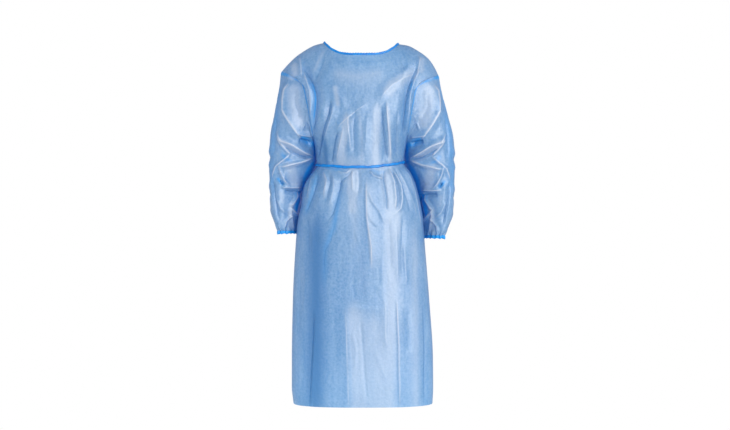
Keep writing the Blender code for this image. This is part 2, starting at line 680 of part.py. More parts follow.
def make_binding(front, left, right):
    """Neck binding: from the right back's free edge round the front to the left back's."""
    top = np.concatenate((right[-1], front[-1][::-1][1:-1], left[-1]))
    below = np.concatenate((right[-2], front[-2][::-1][1:-1], left[-2]))
    lean, away = binding_directions(top)
    climb = top - below
    climb /= np.linalg.norm(climb, axis=1, keepdims=True)
    start = top + climb * (SEAM_GAP + BINDING_EASE)
    loops = []
    for point, up, out in zip(start, lean, away):
        half = out * BINDING_THICK / 2
        rise = up * BINDING_TALL
        loops.append(np.array([point + half, point + half + rise, point - half + rise, point - half]))
    strip("neck_binding", loops, closed=False)
    return loops


def belt_loops(front, left, right, normals):
    """The belt's sections, made from the body's own points at its two belt rows, moved out.

    Here `left` is the left half before it goes under the lap, so the belt runs level across it.
    """
    low = SKIRT_ROWS + 1
    at_lap = int((0.5 - LAP / 2) / (0.5 + LAP / 2) * BACK_COLUMNS) - 1
    around = []
    for grid, out, order in (
        (front, normals["front"], range(FRONT_COLUMNS + 1)),
        (right, normals["right"], range(BACK_COLUMNS - 1, -1, -1)),
        (left, normals["left"], range(at_lap, 0, -1)),
    ):
        around += [(grid[low, i], grid[low + 1, i], out[low, i], out[low + 1, i]) for i in order]
    edge = 0.5 * (1.0 - BELT_TALL / (BELT_TALL + BELT_ROWS_SPARE))
    inside = WALL / 2 + SEAM_GAP + BELT_EASE
    loops = []
    for bottom, top, out_low, out_high in around:
        foot, head = bottom + (top - bottom) * edge, top + (bottom - top) * edge
        loops.append(np.array([
            foot + out_low * inside,
            foot + out_low * (inside + BELT_THICK),
            head + out_high * (inside + BELT_THICK),
            head + out_high * inside,
        ]))
    return loops


def back_depth(grid, x, height):
    """How far back the right back's middle surface lies at (x, height)."""
    half = BACK_COLUMNS // 2 + 4
    depth = [np.interp(x, row[:half, 0], row[:half, 1]) for row in grid]
    heights = [np.interp(x, row[:half, 0], row[:half, 2]) for row in grid]
    return float(np.interp(height, heights, depth))


def knot(name, centre, size):
    """A plain knot: a soft egg with a band drawn in round its middle."""
    loops = []
    for j in range(1, KNOT_RINGS):
        polar = math.pi * j / KNOT_RINGS
        pull = 1.0 - KNOT_PULL * math.exp(-((polar - math.pi / 2) / KNOT_BAND) ** 2)
        angle = np.arange(KNOT_SIDES) * 2 * math.pi / KNOT_SIDES
        around = math.sin(polar) * pull
        loops.append(np.column_stack((
            np.full(KNOT_SIDES, centre[0] + size[0] / 2 * math.cos(polar)),
            centre[1] + size[1] / 2 * around * np.cos(angle),
            centre[2] + size[2] / 2 * around * np.sin(angle),
        )))
    strip(name, loops, closed=False)


def tie(name, start, lean, long, back):
    """A free end of strip: down from its knot, lying just off the back."""
    wide, thick = TIE_WIDE / 2, TIE_THICK / 2
    loops = []
    for i in range(TIE_STEPS + 1):
        share = i / TIE_STEPS
        x = start[0] + lean * ease(share * TIE_SWING)
        z = start[2] - long * share
        lying = back_depth(back, x, z) + WALL / 2 + TIE_CLEAR + thick
        y = max(lying, start[1] + (lying - start[1]) * ease(share / TIE_SETTLE))
        corners = ((-wide, thick), (wide, thick), (wide, -thick), (-wide, -thick))
        loops.append(np.array([(x + across, y + deep, z) for across, deep in corners]))
    strip(name, loops, closed=False)


def make_knot_and_ties(name, centre, size, long, lean, back):
    knot(name + "_knot", centre, size)
    foot = centre[2] - size[2] / 2 * KNOT_FOOT - SEAM_GAP
    for side, word in ((LEFT, "left"), (RIGHT, "right")):
        start = (centre[0] + side * (TIE_WIDE / 2 + SEAM_GAP), centre[1], foot)
        tie(f"{name}_tie_{word}", start, side * lean, long * (1.0 + TIE_UNEVEN * side), back)


def clear_scene():
    for item in list(bpy.data.objects):
        bpy.data.objects.remove(item, do_unlink=True)


def make_gown():
    front, left, right, before_lap, normals = make_body()
    for side, word in ((LEFT, "left"), (RIGHT, "right")):
        make_cuff(word, make_sleeve(side, word, normals))
    binding = make_binding(front, left, right)
    belt = belt_loops(front, before_lap, right, normals)
    strip("waist_belt", belt, closed=True)
    for name, loops, size, long, lean in (
        ("neck", binding[:BACK_COLUMNS], NECK_KNOT, NECK_TIE_LONG, NECK_TIE_LEAN),
        ("belt", belt[FRONT_COLUMNS:], BELT_KNOT, BELT_TIE_LONG, BELT_TIE_LEAN),
    ):
        behind = [point for loop in loops for point in loop if abs(point[0]) < KNOT_SEAT_WIDE]
        rearmost = max(point[1] for point in behind)
        height = sum(point[2] for point in behind) / len(behind)
        seat = rearmost + SEAM_GAP + KNOT_FULL * size[1] / 2
        make_knot_and_ties(name, (0.0, seat, height), size, long, lean, right)


clear_scene()
make_gown()
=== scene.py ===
"""An isolation gown as it stands on a wearer who isn't there, seen from the front.

Metres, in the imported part's frame: +X is the viewer's right, the front faces -Y, +Z is up, and
the origin is midway between the two neck points.
"""
import math
from collections import namedtuple

import bpy
import numpy as np
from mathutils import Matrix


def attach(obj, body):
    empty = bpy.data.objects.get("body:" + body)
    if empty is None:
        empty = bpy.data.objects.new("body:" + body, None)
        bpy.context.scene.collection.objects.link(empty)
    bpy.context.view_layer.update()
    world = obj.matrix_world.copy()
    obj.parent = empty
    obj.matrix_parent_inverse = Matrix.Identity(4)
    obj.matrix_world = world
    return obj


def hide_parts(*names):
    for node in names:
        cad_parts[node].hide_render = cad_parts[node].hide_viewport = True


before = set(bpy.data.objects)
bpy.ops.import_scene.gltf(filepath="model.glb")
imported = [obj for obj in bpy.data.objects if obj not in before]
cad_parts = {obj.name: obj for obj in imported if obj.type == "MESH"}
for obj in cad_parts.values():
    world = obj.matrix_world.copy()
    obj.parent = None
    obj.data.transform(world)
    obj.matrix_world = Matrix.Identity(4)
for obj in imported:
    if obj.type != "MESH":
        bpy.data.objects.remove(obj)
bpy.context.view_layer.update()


# The camera: level, square to the gown and at the height of its thigh, as the photographer
# stood, with the gown's middle a little left of the picture's.
CAMERA_PLACE = (0.0122, -3.2, -0.55)
CAMERA_LENS = 49.0

camera = bpy.data.objects.new("camera", bpy.data.cameras.new("camera"))
camera.data.sensor_width = 36.0
camera.data.lens = CAMERA_LENS
camera.location = CAMERA_PLACE
camera.rotation_euler = (math.radians(90), 0, 0)
bpy.context.scene.collection.objects.link(camera)
bpy.context.scene.camera = camera


# The front: one piece of thin blue nonwoven with a glossy film on its face, cut from hem to
# neck with a wide scoop and dropped shoulders. It is sewn to the backs and sleeves with plain
# seams, and hangs over an unseen chest, so it creases at the armholes and the belt.
HEM_HEIGHT = -1.152
ARMPIT_HEIGHT = -0.316
BELT_HEIGHT = -0.391  # at the side seams
BELT_DIP = 0.0095  # the belt hangs lower at the front
BELT_TILT = 0.0050  # and its right side is higher
BELT_REACH = 0.055
BELT_HALF_TALL = 0.0055
FRONT_COLUMNS = 200
SKIRT_ROWS = 245
BELT_ROWS = 5
WAIST_ROWS = 25
ARMHOLE_ROWS = 84
SHOULDER_ROWS = 46
ROW_SAMPLES = 601  # points along a row before it is read at even steps
SIDE_FADE = 0.055  # share of a row over which its creases die away at a side seam
NECK_FADE_ROWS = 30
SOFT_SIDE = 0.10  # share of a row over which softening of the plain form sets in
SOFT_ROUNDS = 260
SOFT_ARMPIT_ROWS = 24.0  # rows on each side of the armpit's that are softened
SOFT_TIP_ROWS = 50.0  # and of the shoulder tip's
TOP_SQUARE = 2.3  # squareness at the armpit
TOP_ROUNDING = 0.2  # and how much of it is lost by the neck
BELT_HOLD_ROWS = 4.0  # rows over which creases set in above and below the belt
MM = 1000.0  # in a metre
CREST = 0.0012  # how round a crease's edge is
CREASE_POWER = 1.35
CREASE_END = 0.22  # share of its length over which each end dies away
SKIRT_SOFTNESS = 0.62  # the skirt hangs free, so its creases keep this share of their rise
SOFT_BELOW = -0.52  # from this height down
SOFT_OVER = 0.10
PAINTED_LINE_WIDE = 0.0024  # half width of the painted highlight or painted shade line along a crease
PAINTED_LINE_FROM = 2.6  # mm of rise from which a crease gets a painted line
PAINTED_LINE_FULL = 3.2  # and how much more it takes for the strongest one
SEAM_ALLOWANCE = 0.007
SEAM_EDGE = 0.6  # share of the allowance that is darkest, and over which it then fades
FRONT_CRINKLES = 260
CRINKLE_LEAN = 0.45  # how far they lean from upright, in radians
CRINKLE_HALF_LONG = (10.0, 34.0)
CRINKLE_BEND = 3.0
CRINKLE_RISE = (0.15, 0.60)
CRINKLE_REACH = (3.0, 8.0)
FRONT, BACK = -1, 1
LEFT, RIGHT = -1, 1

# Below the armpit: half widths to each side seam, depths before and behind them, and how
# square the section is (2 is an ellipse)
Section = namedtuple("Section", "name height left right front back square")
SECTIONS = (
    Section("hem", -1.152, 0.2175, 0.2290, 0.096, 0.118, 2.8),
    Section("low skirt", -1.100, 0.2228, 0.2312, 0.099, 0.121, 2.8),
    Section("calf", -1.010, 0.2228, 0.2305, 0.102, 0.124, 2.7),
    Section("knee", -0.820, 0.2195, 0.2185, 0.107, 0.128, 2.6),
    Section("thigh", -0.645, 0.2106, 0.2045, 0.112, 0.130, 2.5),
    Section("hip", -0.565, 0.2030, 0.1985, 0.114, 0.130, 2.4),
    Section("high hip", -0.515, 0.1920, 0.1905, 0.114, 0.128, 2.4),
    Section("skirt fullness", -0.465, 0.1860, 0.1785, 0.111, 0.122, 2.3),
    Section("below belt", -0.425, 0.1660, 0.1610, 0.105, 0.111, 2.2),
    Section("belt", -0.391, 0.1425, 0.1370, 0.098, 0.098, 2.2),
    Section("above belt", -0.360, 0.1465, 0.1400, 0.101, 0.103, 2.2),
    Section("armpit", -0.316, 0.1520, 0.1460, 0.107, 0.110, 2.3),
)
# Depth of the centre line above the armpit
Depth = namedtuple("Depth", "height front back")
CHEST = (
    Depth(-0.316, 0.107, 0.110),
    Depth(-0.250, 0.112, 0.118),
    Depth(-0.190, 0.114, 0.120),
    Depth(-0.130, 0.110, 0.115),
    Depth(-0.090, 0.101, 0.104),
    Depth(-0.048, 0.088, 0.090),
    Depth(-0.030, 0.085, 0.079),
)
# Armhole edge from the armpit to the shoulder tip, and how far in and down the right one lies
Edge = namedtuple("Edge", "out depth height right_in right_down")
ARMPIT = Edge(0.1520, 0.000, -0.316, 0.006, 0.000)
TIP = Edge(0.2570, 0.000, -0.0895, 0.008, 0.012)
ARMHOLE = {
    FRONT: (
        ARMPIT,
        Edge(0.1560, 0.060, -0.286, 0.007, 0.000),
        Edge(0.1630, 0.079, -0.240, 0.007, 0.002),
        Edge(0.1720, 0.082, -0.188, 0.008, 0.006),
        Edge(0.1860, 0.079, -0.132, 0.010, 0.010),
        Edge(0.2250, 0.058, -0.107, 0.009, 0.011),
        TIP,
    ),
    BACK: (
        ARMPIT,
        Edge(0.1570, 0.060, -0.288, 0.007, 0.000),
        Edge(0.1660, 0.083, -0.240, 0.007, 0.002),
        Edge(0.1790, 0.087, -0.186, 0.008, 0.006),
        Edge(0.1980, 0.080, -0.137, 0.010, 0.010),
        Edge(0.2300, 0.055, -0.108, 0.009, 0.011),
        TIP,
    ),
}
# Shoulder line from its tip to the neck point
SHOULDER = (
    TIP,
    Edge(0.2325, 0.000, -0.0630, 0.004, 0.000),
    Edge(0.2100, 0.000, -0.0410, 0.000, 0.000),
    Edge(0.1870, 0.000, -0.0250, 0.000, 0.000),
    Edge(0.1490, 0.000, -0.0040, 0.000, 0.001),
    Edge(0.1215, 0.000, 0.0030, 0.000, 0.004),
)
# Height of the centre line where a row starts at each landmark of its side, and the power of
# its distance from the centre by which the row climbs to its ends
Landmark = namedtuple("Landmark", "front back climb")
AT_ARMPIT = Landmark(-0.316, -0.316, 2.0)
AT_TIP = Landmark(-0.140, -0.130, 2.8)
AT_NECK = Landmark(-0.0478, -0.0290, 3.5)

# A crease in millimetres: its name; its rise (minus is a trough) and its reach to the left and
# right of its path; x and height of each point of the path. Right is the viewer's right of a
# path that runs down, and above one that runs right.
Crease = namedtuple("Crease", "name rise left right path")


def crease_rows(table):
    """Creases from a table with one on each line; an indented line goes on with its path."""
    rows = []
    for line in table.strip().replace("\n ", " ").splitlines():
        name, sizes, path = line.split(";")
        path = [[float(number) for number in point.split(",")] for point in path.split()]
        rows.append(Crease(name, *map(float, sizes.split()), path))
    return tuple(rows)


FRONT_CREASES = crease_rows("""
left arm roll edge; -14 8 30; -188,-60 -181,-88 -163,-119 -151,-141 -143,-166 -141,-194 -147,-235
    -152,-275 -151,-319
left arm roll crest; 5 12 8; -183,-91 -171,-128 -160,-160 -156,-203 -158,-253
right arm roll edge; -12 28 8; 184,-60 176,-88 162,-116 150,-147 142,-185 138,-228 135,-272 133,-322
right arm roll crest; 4 8 12; 176,-97 164,-135 154,-166 150,-210 147,-260
left dart; -9 26 8; -92,-178 -102,-235 -125,-300 -135,-341 -138,-381
left dart lip; 4 7 22; -83,-191 -92,-241 -113,-306 -122,-353
left waist pleat; -6 16 6; -72,-285 -82,-316 -88,-347 -94,-391
left waist panel; 4 10 18; -53,-272 -63,-316 -71,-353 -77,-388
centre left ridge; 4 16 9; -39,-228 -41,-266 -35,-316 -32,-356
chest slant; 4 16 24; -80,-291 -63,-266 -41,-247 -10,-222 22,-200
centre trough; -4 18 16; -16,-203 -24,-285 -21,-372
centre right ridge; 3 16 18; 18,-247 15,-316 9,-372
right valley; -8 26 6; 65,-203 66,-241 68,-278 75,-328 84,-388
right ridge; 5 6 22; 78,-185 81,-235 87,-300 93,-384
right chest slant; 3.6 30 18; 178,-97 134,-122 97,-144 75,-166 53,-203
right side trough; -4 14 12; 115,-216 112,-285 112,-378
left chest fold; 2.2 18 16; -100,-141 -82,-160 -60,-191 -47,-228
left shoulder fold; -5 20 26; -110,-13 -119,-66 -135,-110 -153,-135
right shoulder fold; -4 24 18; 109,-19 122,-60 140,-97
neckline ridge; 2.2 14 9; -103,-53 -66,-74 0,-80 68,-69 106,-44
left cap fold; 5 16 8; -195,-44 -190,-72 -185,-119
right cap fold; 5 8 16; 188,-41 183,-72 175,-119
left flank fold; -9 7 26; -136,-406 -142,-444 -150,-478 -175,-547
left flank streak; 3.5 5 6; -155,-422 -163,-459 -172,-503
left flank crease; -3 5 5; -166,-434 -177,-491
left hip crease; -3.5 16 8; -174,-541 -165,-587 -163,-684
left gather ridge; 4.5 6 8; -122,-406 -107,-441 -119,-494
left gather trough; -4 8 9; -103,-409 -96,-447 -113,-519
left drape ridge; 4 12 10; -85,-416 -86,-472 -103,-534
left drape; -8 24 10; -61,-422 -66,-466 -74,-503 -88,-547 -110,-578
left drape below; -4 28 18; -78,-553 -85,-591 -94,-631 -111,-659 -115,-697 -110,-759
apron left; 4 7 4; -75,-409 -63,-418 -46,-419 -27,-403
apron left shade; -4.5 6 8; -27,-405 -42,-427 -58,-439 -72,-453
centre gather ridge; 4 5 8; -26,-403 -28,-434 -26,-478
centre gather trough; -3 8 7; -10,-403 -5,-447 -10,-491
centre wedge; 6 7 36; 17,-428 16,-503 18,-562 31,-647 33,-722
wedge slant; 3.5 8 12; 17,-466 34,-506 57,-538 78,-584
wedge low slant; 2.5 6 8; 18,-534 31,-566 56,-591
apron right; 4 4 7; 23,-406 37,-426 53,-433 75,-436
right gather one; -5.5 12 5; 72,-403 70,-441 79,-497 80,-528 90,-542
right gather two; 5 8 4; 85,-400 103,-444 109,-497 105,-541
right gather three; -5 4 4; 92,-403 115,-456 119,-497 111,-538
right gather four; 5 4 8; 96,-400 125,-456 129,-497 124,-528 103,-550
right gather five; -4.5 6 9; 103,-397 129,-450 143,-497 159,-553
right gather six; 3.5 7 9; 108,-394 126,-430 145,-466 165,-513 178,-566
right flank ridge; 4.5 12 6; 130,-391 153,-431 170,-478 183,-544 192,-603
right hip crease; -4 6 16; 130,-541 126,-647 128,-747
right hip ridge; 3.5 7 10; 135,-634 137,-697 143,-778
right thigh ridge; 3 12 8; 109,-566 111,-659 115,-778
right thigh trough; -3 12 9; 86,-547 89,-628 93,-734
knee slant; 1.6 12 12; 50,-759 62,-791 77,-834
thigh pleat; 1.6 10 9; 63,-684 67,-741 70,-803
low right ridge; 5.5 6 24; 111,-791 115,-897 118,-959 119,-1037 122,-1172
low right crease; 3.5 22 6; 76,-809 77,-884 77,-928 84,-972
low centre crease; -3 12 5; -2,-859 5,-947 11,-1037 22,-1147
low centre edge; 4.5 34 34; -50,-828 -46,-919 -43,-1006 -39,-1172
low left step; -12 40 5; -148,-834 -152,-940 -158,-1040 -164,-1172
pack fold; 2.0 26 12; -91,-842 -35,-839 34,-842 84,-845
low right trough; -3.5 14 12; 143,-834 151,-909 150,-990
right side drape; -6 18 14; 195,-803 200,-972 198,-1172
left side drape; -4 14 16; -191,-697 -194,-815 -196,-972
knee crease; -1.2 16 14; -16,-697 -25,-766 -19,-815
low slant one; 1.2 12 12; 40,-959 56,-1009 84,-1078
low slant two; 2 9 8; -28,-909 -16,-972 -19,-1040
""")

# Where the cloth rolls under and lies double, and painted shade in pockets, puckers and drapes: here the
# rise is a share of the darkening
FRONT_DOUBLE_AND_SHADE = crease_rows("""
left armhole roll; 0.3 14 12; -176,-108 -156,-150 -148,-180 -154,-230 -151,-300
left roll edge; 1.1 4 3; -158,-124 -147,-150 -141,-180 -143,-215 -149,-262
right armhole roll; 0.22 16 16; 176,-112 158,-150 146,-190 138,-240 130,-320
right roll edge; 0.9 3 4; 177,-96 165,-116 158,-140 152,-170
left belt pucker; 0.5 6 10; -120,-398 -75,-408 -30,-403
right belt pucker; 0.5 6 8; 30,-404 56,-420 80,-412
left flank; 0.45 10 14; -136,-408 -146,-450 -160,-500 -180,-560
left drape; 0.45 18 12; -62,-440 -70,-500 -84,-590 -112,-650 -114,-790
""")

# Zones of painted highlight, where the cloth is painted paler, or of painted shade where the rise is
# below zero
FRONT_PAINTED_ZONES = crease_rows("""
right chest slant; 1.4 26 34; 188,-92 130,-122 98,-144 66,-190
left chest patch; 1.0 13 15; -84,-140 -76,-180 -70,-222
upper chest; 0.65 60 46; -110,-104 0,-120 90,-100
left shoulder slant; 0.6 14 12; -112,-18 -134,-66 -150,-110
left waist panel; 1.3 21 22; -42,-216 -50,-290 -60,-340 -64,-420
middle waist panel; 0.5 14 14; -14,-200 2,-290 4,-410
right waist panel; 1.2 26 20; 52,-180 49,-280 44,-430
right waist edge; 1.3 8 8; 82,-180 88,-290 92,-430
right gathers; 1.1 40 44; 62,-380 84,-450 96,-520 104,-640
right skirt; 1.1 44 52; 88,-480 92,-620 96,-760 92,-900 84,-1050 80,-1300
wedge; 0.7 8 40; 17,-410 17,-500 22,-600 36,-760
left gather; 0.6 9 9; -118,-406 -112,-450 -118,-520
middle gather; 0.8 20 22; -26,-396 -26,-450 -32,-560
low middle; 1.3 46 56; -28,-780 -20,-880 -8,-1020 -4,-1300
low middle right; 0.9 44 44; 36,-800 42,-900 50,-1040 54,-1300
below belt; 0.6 46 50; -30,-350 -26,-420 -22,-500
upper skirt; 0.5 34 36; -30,-380 -24,-460 -16,-600 -10,-700
right flank; 0.7 34 26; 165,-500 170,-700 174,-1300
left waist; -1.0 18 14; -122,-290 -112,-340 -106,-410
left skirt; -1.0 70 60; -134,-450 -140,-640 -140,-900 -144,-1300
middle skirt; -0.45 24 22; 2,-520 4,-680 12,-860
left shoulder cap; 1.1 22 22; -214,-60 -208,-120
right shoulder cap; 0.8 18 18; 196,-40 188,-110
""")
ZONE_HIGHLIGHT_SHARE = 0.44  # how far a full painted highlight zone goes towards the colour of a ridge
ZONE_SHADE_SHARE = 0.92  # and a full painted shade zone towards that of a trough


def through(places, values, at):
    """Read a smooth curve through (places, values), which never overshoots its rows."""
    places, values = np.asarray(places, float), np.asarray(values, float)
    step = np.diff(places)
    rise = np.diff(values) / step
    slope = np.empty(len(values))
    slope[0], slope[-1] = rise[0], rise[-1]
    level = np.abs(rise[:-1] + rise[1:]) < 1e-12
    mean = 2.0 * rise[:-1] * rise[1:] / np.where(level, 1.0, rise[:-1] + rise[1:])
    slope[1:-1] = np.where(rise[:-1] * rise[1:] > 0.0, mean, 0.0)
    at = np.clip(np.asarray(at, float), places[0], places[-1])
    i = np.clip(np.searchsorted(places, at) - 1, 0, len(step) - 1)
    t = (at - places[i]) / step[i]
    lean = step[i] * (slope[i] * t * (1 - t) ** 2 - slope[i + 1] * t ** 2 * (1 - t))
    return values[i] + (values[i + 1] - values[i]) * t * t * (3 - 2 * t) + lean


def ease(share):
    """0 to 1 with level ends."""
    share = np.clip(share, 0.0, 1.0)
    return share * share * (3.0 - 2.0 * share)


def column(rows, name):
    """One field of every row of a table."""
    return [getattr(row, name) for row in rows]


def lengths_along(points):
    """Distance along a polyline from its start to each of its points."""
    steps = np.linalg.norm(np.diff(points, axis=0), axis=1)
    return np.concatenate(([0.0], np.cumsum(steps)))


def unit(vectors):
    """Directions of length one."""
    return vectors / np.linalg.norm(vectors, axis=-1, keepdims=True)


def spread_evenly(points, shares):
    """Points at the given shares of a polyline's length."""
    along = lengths_along(points)
    return np.column_stack([np.interp(np.asarray(shares) * along[-1], along, p) for p in points.T])


def edge_points(rows, face, side, steps):
    """An armhole or shoulder edge on one side of the front or the back, at even steps."""
    right = 1.0 if side == RIGHT else 0.0
    points = np.array([
        (side * (row.out - right * row.right_in), face * row.depth, row.height - right * row.right_down)
        for row in rows
    ])
    along = lengths_along(points)
    fine = np.linspace(0.0, along[-1], ROW_SAMPLES)
    curve = np.column_stack([through(along, p, fine) for p in points.T])
    return spread_evenly(curve, np.linspace(0.0, 1.0, steps + 1))


def seam_heights():
    """Row heights on the side seam from the hem to the armpit, closer together at the belt."""
    low, high = BELT_HEIGHT - BELT_HALF_TALL, BELT_HEIGHT + BELT_HALF_TALL
    skirt = np.linspace(HEM_HEIGHT, low, SKIRT_ROWS + 1)
    belt = np.linspace(low, high, BELT_ROWS + 1)[1:]
    return np.concatenate((skirt, belt, np.linspace(high, ARMPIT_HEIGHT, WAIST_ROWS + 1)[1:]))


def near_belt(heights):
    """1 at the belt's height, falling away above and below it."""
    return np.exp(-(((heights - BELT_HEIGHT) / BELT_REACH) ** 2))


def belt_rise(heights):
    """How much higher a row meets the right side seam than the left one."""
    return 2 * BELT_TILT * near_belt(heights)


def body_rows(face):
    """Each row's left end, right end, and (centre height, depth, squareness, climb)."""
    which = "front" if face == FRONT else "back"
    heights = seam_heights()
    section = {
        name: through(column(SECTIONS, "height"), column(SECTIONS, name), heights)
        for name in ("left", "right", which, "square")
    }
    dip = BELT_DIP * near_belt(heights) if face == FRONT else 0.0
    level = np.zeros_like(heights)
    lefts = [np.column_stack((-section["left"], level, heights))]
    rights = [np.column_stack((section["right"], level, heights + belt_rise(heights)))]
    forms = [np.column_stack((heights - dip, section[which], section["square"], level + AT_ARMPIT.climb))]
    for edge, steps, low, high in (
        (ARMHOLE[face], ARMHOLE_ROWS, AT_ARMPIT, AT_TIP),
        (SHOULDER, SHOULDER_ROWS, AT_TIP, AT_NECK),
    ):
        share = np.arange(1, steps + 1) / steps
        start, end = getattr(low, which), getattr(high, which)
        heights = start + (end - start) * share
        depth = through(column(CHEST, "height"), column(CHEST, which), heights)
        climb = low.climb + (high.climb - low.climb) * share
        lefts.append(edge_points(edge, face, LEFT, steps)[1:])
        rights.append(edge_points(edge, face, RIGHT, steps)[1:])
        forms.append(np.column_stack((heights, depth, TOP_SQUARE - TOP_ROUNDING * share, climb)))
    return np.concatenate(lefts), np.concatenate(rights), np.concatenate(forms)


def soften(grid, shares):
    """Even out the change of form at the armpit and shoulder tip rows, but not at the seams."""
    row = np.arange(len(grid))
    armpit = SKIRT_ROWS + BELT_ROWS + WAIST_ROWS
    weight = np.zeros(len(grid))
    for place, reach in ((armpit, SOFT_ARMPIT_ROWS), (armpit + ARMHOLE_ROWS, SOFT_TIP_ROWS)):
        weight = np.maximum(weight, 1.0 - ease(np.abs(row - place) / reach))
    within = ease(np.minimum(shares, 1.0 - shares) / SOFT_SIDE)
    weight = 0.5 * weight[1:-1, None, None] * within[None, :, None]
    for _ in range(SOFT_ROUNDS):
        grid[1:-1] += weight * (grid[:-2] + grid[2:] - 2 * grid[1:-1])
    return grid


def plain_body(face, shares):
    """The uncreased front or back, rows from hem to neck, at shares of each row's length."""
    share = np.linspace(-1.0, 1.0, ROW_SAMPLES)
    angle = np.abs(share) * math.pi / 2
    grid = []
    for left, right, (height, depth, square, climb) in zip(*body_rows(face)):
        across = np.sin(angle) ** (2.0 / square)
        forward = np.abs(np.cos(angle)) ** (2.0 / square)
        end = np.where((share < 0)[:, None], left, right)
        end_depth = np.abs(end[:, 1])
        row = np.column_stack((
            end[:, 0] * across,
            face * (end_depth + (depth - end_depth) * forward),
            height + (end[:, 2] - height) * across ** climb,
        ))
        grid.append(spread_evenly(row, shares))
    return soften(np.array(grid), shares)


def outward(grid, around=False):
    """Unit normals of a grid of points, away from the middle of each row."""
    up = np.gradient(grid, axis=0)
    if around:
        across = (np.roll(grid, -1, axis=1) - np.roll(grid, 1, axis=1)) / 2
        middle = grid.mean(axis=1, keepdims=True)
    else:
        across = np.gradient(grid, axis=1)
        middle = grid * (0.0, 0.0, 1.0) - (0.0, 0.0, 0.02)
    normal = unit(np.cross(across, up))
    return normal if np.sum(normal * (grid - middle)) > 0 else -normal


def crease_rise(x, z, creases):
    """How far creases lift the cloth at (x, z), and their painted lines: painted highlight 1 on a ridge,
    painted shade -1 in a trough.
    """
    total, painted_light = np.zeros(x.shape), np.zeros(x.shape)
    for crease in creases:
        path = np.array(crease.path) / MM
        left, right = crease.left / MM, crease.right / MM
        reach = max(left, right)
        low, high = path.min(axis=0) - reach, path.max(axis=0) + reach
        near = (x > low[0]) & (x < high[0]) & (z > low[1]) & (z < high[1])
        if not near.any():
            continue
        px, pz = x[near], z[near]
        along = lengths_along(path)
        gap, side, share = np.full(px.shape, 1e9), np.zeros(px.shape), np.zeros(px.shape)
        for a, b, start in zip(path[:-1], path[1:], along[:-1]):
            run = b - a
            t = np.clip(((px - a[0]) * run[0] + (pz - a[1]) * run[1]) / (run @ run), 0.0, 1.0)
            dx, dz = px - a[0] - t * run[0], pz - a[1] - t * run[1]
            away = np.hypot(dx, dz)
            nearer = away < gap
            gap = np.where(nearer, away, gap)
            side = np.where(nearer, run[0] * dz - run[1] * dx, side)
            share = np.where(nearer, (start + t * np.linalg.norm(run)) / along[-1], share)
        width = np.where(side > 0, right, left)
        slope = np.clip(1.0 - (np.hypot(gap, CREST) - CREST) / width, 0.0, 1.0) ** CREASE_POWER
        fade = ease(share / CREASE_END) * ease((1.0 - share) / CREASE_END)
        total[near] += crease.rise / MM * slope * fade
        strength = np.sign(crease.rise) * np.clip((abs(crease.rise) - PAINTED_LINE_FROM) / PAINTED_LINE_FULL, 0.0, 1.0)
        painted_light[near] += strength * np.clip(1.0 - gap / PAINTED_LINE_WIDE, 0.0, 1.0) * fade
    return total, np.clip(painted_light, -1.0, 1.0)


def with_painted_zones(painted_light, x, z, zones):
    """The painted lines of the creases, with soft zones of painted highlight (or painted shade, below
    zero) added to them.
    """
    share = MM * crease_rise(x, z, zones)[0]
    share = ease(np.abs(share)) * np.where(share > 0.0, ZONE_HIGHLIGHT_SHARE, -ZONE_SHADE_SHARE)
    return np.clip(painted_light + share, -1.0, 1.0)


def crinkles(seed, count, low, high):
    """Many short shallow creases in a box of x and height in mm, different for each piece."""
    random = np.random.default_rng(seed)
    rows = []
    for _ in range(count):
        x, z = random.uniform(low[0], high[0]), random.uniform(low[1], high[1])
        lean, long = random.normal(0.0, CRINKLE_LEAN), random.uniform(*CRINKLE_HALF_LONG)
        step = np.array((math.sin(lean), math.cos(lean))) * long
        bend = random.uniform(-CRINKLE_BEND, CRINKLE_BEND)
        path = ((x - step[0], z - step[1]), (x + bend, z), (x + step[0], z + step[1]))
        rise = random.choice((-1, 1)) * random.uniform(*CRINKLE_RISE)
        left, right = random.uniform(*CRINKLE_REACH), random.uniform(*CRINKLE_REACH)
        rows.append(Crease("crinkle", rise, left, right, path))
    return tuple(rows)


def body_cloth(face, shares, creases):
    """The creased front or back and its outward directions."""
    plain = plain_body(face, shares)
    normals = outward(plain)
    rise, painted_light = crease_rise(plain[..., 0], plain[..., 2], creases)
    rise *= SKIRT_SOFTNESS + (1.0 - SKIRT_SOFTNESS) * ease((plain[..., 2] - SOFT_BELOW) / SOFT_OVER)
    row = np.arange(len(plain))
    from_end = np.minimum(shares, 1.0 - shares)
    at_neck = ease((len(plain) - 1 - row) / NECK_FADE_ROWS)
    under_belt = (row >= SKIRT_ROWS) & (row <= SKIRT_ROWS + BELT_ROWS)
    from_belt = np.abs(row - (SKIRT_ROWS + BELT_ROWS / 2)) - BELT_ROWS / 2
    held = ease(from_belt / BELT_HOLD_ROWS)
    share = ease(from_end / SIDE_FADE) * (at_neck * np.where(under_belt, 0.0, held))[:, None]
    return plain + normals * (rise * share)[..., None], normals, painted_light * share


def near_seam(gap):
    """1 on a seam's allowance, where two layers show darker, and 0 well away from it."""
    edge = SEAM_EDGE * SEAM_ALLOWANCE
    return 1.0 - ease((gap - edge) / edge)


def seam_layers(grid, ends):
    """near_seam along the named edges of a piece: the first or last point of its rows."""
    across = np.linalg.norm(np.diff(grid, axis=1), axis=2)
    along = np.concatenate((np.zeros((len(grid), 1)), np.cumsum(across, axis=1)), axis=1)
    gap = np.full(along.shape, 1.0)
    if "first" in ends:
        gap = np.minimum(gap, along)
    if "last" in ends:
        gap = np.minimum(gap, along[:, -1:] - along)
    return near_seam(gap)


def mesh_object(name, points, faces):
    """A smooth mesh, put in the scene."""
    mesh = bpy.data.meshes.new(name)
    mesh.from_pydata(points.tolist(), [], faces)
    mesh.shade_smooth()
    piece = bpy.data.objects.new(name, mesh)
    bpy.context.scene.collection.objects.link(piece)
    return piece


